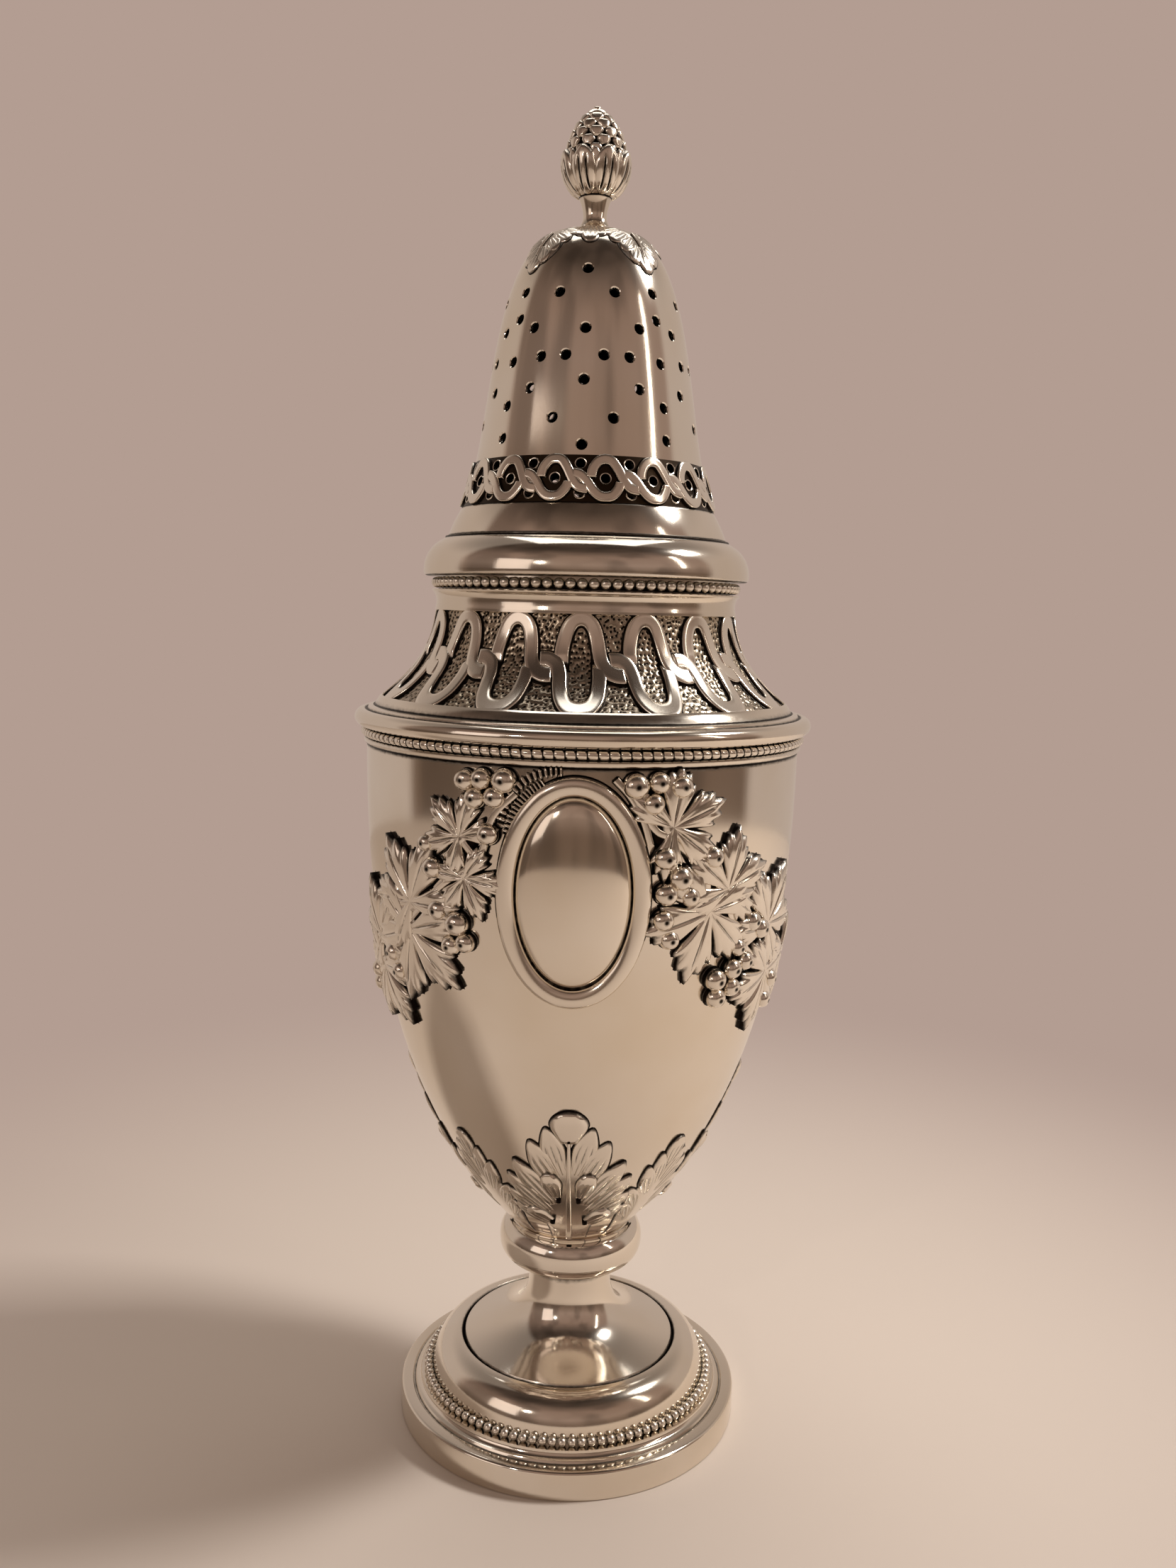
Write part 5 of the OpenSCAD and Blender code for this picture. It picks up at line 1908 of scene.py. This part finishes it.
@dataclass
class Finial(SubAssembly):
    """Bud finial: turned stem, cup of leaves and scaled cone."""

    body = Body.COVER
    stem_r: float = 1.75
    foot_r: float = 4.3
    peg_r: float = 1.5
    cup_foot_r: float = 2.45
    cup_r: float = 5.2
    cone_r: float = 4.65
    # Leaves of the cup, then each kind's turn in steps, foot and top as shares of the height, width and lift
    leaves: int = 8
    leaf_kinds: Sequence = ((0.0, 0.0, 1.0, 4.5, 0.85), (0.5, 0.1, 0.94, 2.3, 0.45))
    # Rows of scales on the cone: share of its height and number of scales
    rows: Sequence = ((0.02, 12), (0.2, 11), (0.38, 10), (0.55, 9), (0.71, 7), (0.85, 5))
    scale_l: float = 1.55
    scale_lift: float = 0.6
    # How far the cone's foot lies in the cup, and its bud's height and radius
    cone_depth: float = 1.6
    bud_h: float = 0.35
    bud_r: float = 0.55
    # Stretches round the axis: of the stem and the cup, and of the cone
    round_steps: int = 96
    cone_steps: int = 64

    def build(self) -> None:
        """Turns, chases and dresses the finial."""
        self.stem()
        self.cup()
        self.cone()
        self.polisher.dress_node("finial_nut", DULL)

    def stem(self) -> None:
        """Turns the stem with its peg."""
        low, crown, top = levels("finial_stem")[0], levels("cover_dome")[1], levels("finial_calyx")[0]
        h, r = top - crown, self.stem_r
        waist, foot, cup = crown + 0.5 * h, (self.foot_r, crown), (self.cup_foot_r, top)
        # Peg, flared foot, narrow stem and the flare under the cup
        profile = [(0.0, low), (self.peg_r, low), (self.peg_r, crown)]
        profile += bezier(foot, (2.4, crown + 0.06 * h), (r, crown + 0.3 * h), (r, waist), 16)
        profile += bezier((r, waist + 0.1), (r, top - 0.35 * h), (r + 0.35, top - 0.12 * h), cup, 10)
        profile += [(0.0, top)]
        # Painted shade with patina under the cup and at the foot
        piece = lathe("finial_turned_stem", profile, [(*cup, 0.2), (*foot, 0.3)], self.round_steps)
        self.dress(piece, Slot.POLISHED, POLISHED, "finial_stem")

    def cup(self) -> None:
        """Chases eight pointed leaves on a cup."""
        low, high = levels("finial_calyx")
        h, r = high - low, self.cup_r - 0.6
        foot, side = (self.cup_foot_r - 0.2, low), (r, low + 0.72 * h)
        # Side of the solid cup
        outside = bezier(foot, (0.72 * self.cup_r, low + 0.1 * h), (r, low + 0.4 * h), side, 24)
        # The leaves go on above the solid cup and flare a little
        flare = bezier(side, (r, low + 0.85 * h), (r + 0.1, high - 0.3), (r + 0.15, high + 0.4), 8)
        surface = Surface(outside + flare[1:])
        profile = [(0.0, low)] + outside + [(self.cone_r - 0.3, low + 0.74 * h), (0.0, low + 0.74 * h)]
        core = lathe("core", profile, steps=self.round_steps)
        # The core is painted darker upwards, as shade with patina under the leaves
        paint_patina_and_shade(core, step(0.05 * h, 0.25 * h, corners(core)[:, 2] / MM - low))
        step_deg = 360 / self.leaves
        parts = []
        for steps, base, top, width, lift in self.leaf_kinds:
            turn = steps * step_deg
            lobe = Lobe((turn, low + base * h), (turn, low + top * h), width, lift)
            parts.append(self.pointed(surface, lobe))
        leaves = ring_of(joined(parts, "cup_leaves"), self.leaves)
        turned(leaves, step_deg / 2)
        cup = joined([leaves, core], "finial_leaf_cup")
        self.dress(cup, Slot.CHASED, CHASED, "finial_calyx")

    def pointed(self, surface: Surface, lobe: Lobe) -> Piece:
        """Chases one pointed leaf with a slit on each side of its rib.

        Args:
            surface: what it lies on.
            lobe: its place and size.
        Returns:
            The leaf.
        """
        aim = Aim(surface, lobe.base, lobe.tip)

        def shaper(x: Array, y: Array) -> Laid:
            """A leaf that widens to its middle and comes to a point.

            Args:
                x, y: the flat blank.
            Returns:
                Places and darkness.
            """
            on = Rings(x, y)
            t = (on.y + 1) / 2
            # Widest well past its middle, with a slit on each side
            belly = (0.55 + 0.6 * t) * (1 - 0.55 * t**5)
            across = on.x * lobe.width / 2 * belly
            slit = np.exp(-(((np.abs(across) - 0.5) / 0.16) ** 2))
            slit = slit * step(0.08, 0.2, t) * (1 - step(0.66, 0.82, t))
            edge = np.sqrt(np.clip(1 - on.inner**3, 0, 1))
            lift = 0.06 + lobe.lift * edge * (0.15 + 0.95 * t) - 0.3 * slit
            # Painted shade with patina in the slits and along the edge, and on the wall from the base up
            dark = np.maximum(slit, 0.6 * step(0.88, 1.0, on.r) * step(0.1, 0.3, t))
            places = aim.spread(t * aim.length, across, np.where(on.wall, -0.1, lift))
            return places, np.where(on.wall, step(0.05, 0.3, t), dark)

        return shaped(copied(self.chaser.fine, "pointed"), shaper)

    def cone(self) -> None:
        """Sets rows of rounded scales on a cone."""
        top = levels("finial_cone")[1]
        foot, peak = levels("finial_calyx")[1] - self.cone_depth, top - self.bud_h
        # Slim cone under the scales
        low_handle, high_handle = (self.cone_r - 0.4, foot + 3.6), (2.3, top - 1.0)
        outside = bezier((self.cone_r - 0.5, foot), low_handle, high_handle, (0.25, peak), 30)
        surface = Surface(outside)
        core = lathe("core", [(0.0, foot)] + outside + [(0.0, peak)], steps=self.cone_steps)
        # The core between the scales is painted fully dark, as shade with patina
        paint_patina_and_shade(core, np.ones(len(core.data.vertices)))
        parts = [core]
        for number, (share, count) in enumerate(self.rows):
            height = foot + share * (peak - foot)
            s = float(surface.along(height))
            width = 2 * math.pi * float(surface.radius(s)) / count
            # Every other row is turned by half a scale
            first = 180 / count * (number % 2)
            end = min(float(np.interp(s + self.scale_l, surface.s, surface.z)), peak - 0.01)
            scale = Lobe((first, height), (first, end), 0.95 * width, self.scale_lift, 0.0)
            parts.append(ring_of(self.chaser.lobe(surface, scale), count))
        parts.append(self.chaser.grape(surface, (0.0, peak - 0.1), self.bud_r))
        cone = joined(parts, "finial_scaled_cone")
        self.dress(cone, Slot.CHASED, CHASED, "finial_cone")


@dataclass
class Studio:
    """Floor, lamps, surroundings and the camera at the photograph's place."""

    distance: float = 203.4
    height: float = 129.12
    round_deg: float = 1.3
    yaw_deg: float = 0.29
    pitch_deg: float = 7.742
    roll_deg: float = 1.42
    focal_px: float = 1870.0
    frame_px: tuple[int, int] = (1659, 2212)
    sensor_mm: float = 36.0
    # Floor's radius and the nearest distance drawn, in metres, and the floor's sides
    floor_r: float = 0.5
    near_limit: float = 0.01
    floor_sides: int = 96
    floor_colour: str = "#d9cdc2"
    wall_colour: str = "#b39d92"
    pale_side: str = "#bfaea2"
    # The room before the object: how high a way looks, and its colour there
    room: Sequence = (
        (-0.4, "#7a6657"),
        (0.0, "#735f52"),
        (0.25, "#9f887b"),
        (0.6, "#927a6d"),
        (0.85, "#4d4038"),
    )
    # The room's upright patches: stretch, place, scale and values of their noise, and how dark they get
    patch_stretch: Row = (1.0, 1.0, 0.4)
    patch_place: Row = (0.35, 0.1, 0.0)
    patch_scale: float = 2.6
    patch_from: Point = (0.4, 0.6)
    patch_shade: float = 0.62
    # How high a way looks where it darkens overhead, how dark it gets, and how far back the room ends
    overhead_from: Point = (0.4, 0.85)
    overhead_shade: float = 0.45
    room_end: Point = (0.2, 0.04)
    # Distances in metres between which the floor fades into the wall's colour
    fade: Point = (0.05, 0.24)
    # Where the lamps point, and name, place, width and height in metres, watts and colour of each lamp
    lamp_aim: Row = (0.0, 0.0, 0.1)
    lamps: Sequence = (
        ("key_lamp", (0.47, 0.06, 0.62), (0.12, 0.12), 3.7, "#fffaf5"),
        ("right_strip", (0.72, -0.24, 0.5), (0.03, 0.4), 0.35, "#fff2e2"),
        ("left_spot", (-0.42, -0.7, 0.4), (0.035, 0.035), 0.35, "#fff2e4"),
        ("left_card", (-0.6, -0.5, 0.3), (0.36, 0.36), 0.35, "#fbeadf"),
        ("top_softbox", (0.0, 0.3, 0.95), (0.6, 0.6), 1.9, "#fffaf4"),
    )

    def build(self) -> None:
        """Sets up the floor, lamps, surroundings and camera."""
        self.floor()
        for name, place, (width, height), watts, colour in self.lamps:
            lamp = bpy.data.lights.new(name, "AREA")
            lamp.shape, lamp.size, lamp.size_y = "RECTANGLE", width, height
            lamp.energy, lamp.color = watts, linear(colour)[:3]
            holder = bpy.data.objects.new(name, lamp)
            holder.location = place
            aim = Vector(self.lamp_aim) - Vector(place)
            holder.rotation_euler = aim.to_track_quat("-Z", "Y").to_euler()
            bpy.context.scene.collection.objects.link(holder)
        self.surroundings()
        self.camera()
        bpy.context.scene.view_settings.view_transform = "Standard"

    def floor(self) -> None:
        """Lays a plain pale floor that fades into the wall's colour."""
        fresh()
        bpy.ops.mesh.primitive_circle_add(vertices=self.floor_sides, radius=self.floor_r, fill_type="NGON")
        floor = bpy.context.object
        floor.name = "floor"
        material = bpy.data.materials.new("matt_pale_floor")
        nodes = Nodes(material)
        away = nodes.add("VectorMath", "Value", {0: nodes.add("TexCoord", "Object")}, operation="LENGTH")
        far = nodes.mapped(away, self.fade, kind="SMOOTHSTEP")
        matt = nodes.add("BsdfDiffuse", "BSDF", {"Color": linear(self.floor_colour)})
        wall = nodes.add("Emission", "Emission", {"Color": linear(self.wall_colour)})
        share = nodes.maths("MULTIPLY", far, nodes.add("LightPath", "Is Camera Ray"))
        nodes.end("Material", nodes.add("MixShader", "Shader", {0: share, 1: matt, 2: wall}))
        floor.data.materials.append(material)

    def surroundings(self) -> None:
        """Puts a plain wall behind the object, and a dim room with pale stretches in its reflections."""
        world = bpy.data.worlds.new("room")
        bpy.context.scene.world = world
        nodes = Nodes(world)
        way = nodes.add("TexCoord", "Generated")
        parts = nodes.add("SeparateXYZ", "X", {"Vector": way}).node.outputs
        depth, rise = parts["Y"], parts["Z"]
        # The room before the object: colours by height, broken up by upright patches
        upright = {"Vector": way, "Scale": self.patch_stretch, "Location": self.patch_place}
        patches = nodes.noise(nodes.add("Mapping", "Vector", upright), self.patch_scale, 1.5)
        shade = nodes.mapped(patches, self.patch_from, (self.patch_shade, 1.0), "SMOOTHSTEP")
        seen_levels = nodes.add("ValToRGB", "Color", {"Fac": nodes.maths("MULTIPLY_ADD", rise, 0.5, 0.5)})
        stops = seen_levels.node.color_ramp.elements
        for number, (height, colour) in enumerate(self.room):
            # A new ramp has two stops already
            stop = stops[number] if number < 2 else stops.new(1.0)
            stop.position, stop.color = 0.5 + 0.5 * height, linear(colour)
        dim = nodes.scaled(seen_levels, shade)
        # The pale side behind it, darker overhead
        overhead = nodes.mapped(rise, self.overhead_from, (1.0, self.overhead_shade), "SMOOTHSTEP")
        pale = nodes.scaled(linear(self.pale_side)[:3], overhead)
        room = nodes.mixed(nodes.mapped(depth, self.room_end, kind="SMOOTHSTEP"), pale, dim)
        colour = nodes.mixed(nodes.add("LightPath", "Is Camera Ray"), room, linear(self.wall_colour))
        nodes.end("World", nodes.add("Background", "Background", {"Color": colour, "Strength": 1.0}))

    def camera(self) -> None:
        """Sets the camera where the photograph was taken from."""
        yaw, pitch, roll = (math.radians(a) for a in (self.yaw_deg, self.pitch_deg, self.roll_deg))
        right = Vector((math.cos(yaw), -math.sin(yaw), 0.0))
        level = Vector((math.sin(yaw), math.cos(yaw), 0.0))
        ahead = level * math.cos(pitch) - Vector((0, 0, 1)) * math.sin(pitch)
        up = level * math.sin(pitch) + Vector((0, 0, 1)) * math.cos(pitch)
        image_right = right * math.cos(roll) + up * math.sin(roll)
        image_up = up * math.cos(roll) - right * math.sin(roll)
        axes = Matrix((image_right, image_up, -ahead)).transposed().to_4x4()
        place = Matrix.Translation((0.0, -self.distance * MM, self.height * MM))
        camera = bpy.data.cameras.new("camera")
        camera.sensor_fit = "HORIZONTAL"
        camera.sensor_width = self.sensor_mm
        camera.lens = self.focal_px / self.frame_px[0] * self.sensor_mm
        camera.clip_start = self.near_limit
        holder = bpy.data.objects.new("camera", camera)
        holder.matrix_world = Matrix.Rotation(math.radians(self.round_deg), 4, "Z") @ place @ axes
        bpy.context.scene.collection.objects.link(holder)
        bpy.context.scene.camera = holder


def main() -> None:
    """Builds the caster from the table upwards and sets it in the studio."""
    logging.basicConfig(level=logging.INFO, format="%(name)s: %(message)s")
    Studio().build()
    chaser = Chaser()
    tools = chaser, Polisher()
    vase = Vase(*tools)
    Foot(*tools).build()
    vase.build()
    Calyx(*tools, vase).build()
    Medallion(*tools, vase).build()
    VineSwag(*tools, vase, "left", LEFT_LEAVES, LEFT_GRAPES, LEFT_STEMS, LEFT_RIBBONS).build()
    VineSwag(*tools, vase, "right", RIGHT_LEAVES, RIGHT_GRAPES, RIGHT_STEMS).build()
    for kind in (Rim, Shoulder, Cover, Finial):
        kind(*tools).build()
    chaser.put_away()


if __name__ == "__main__":
    main()
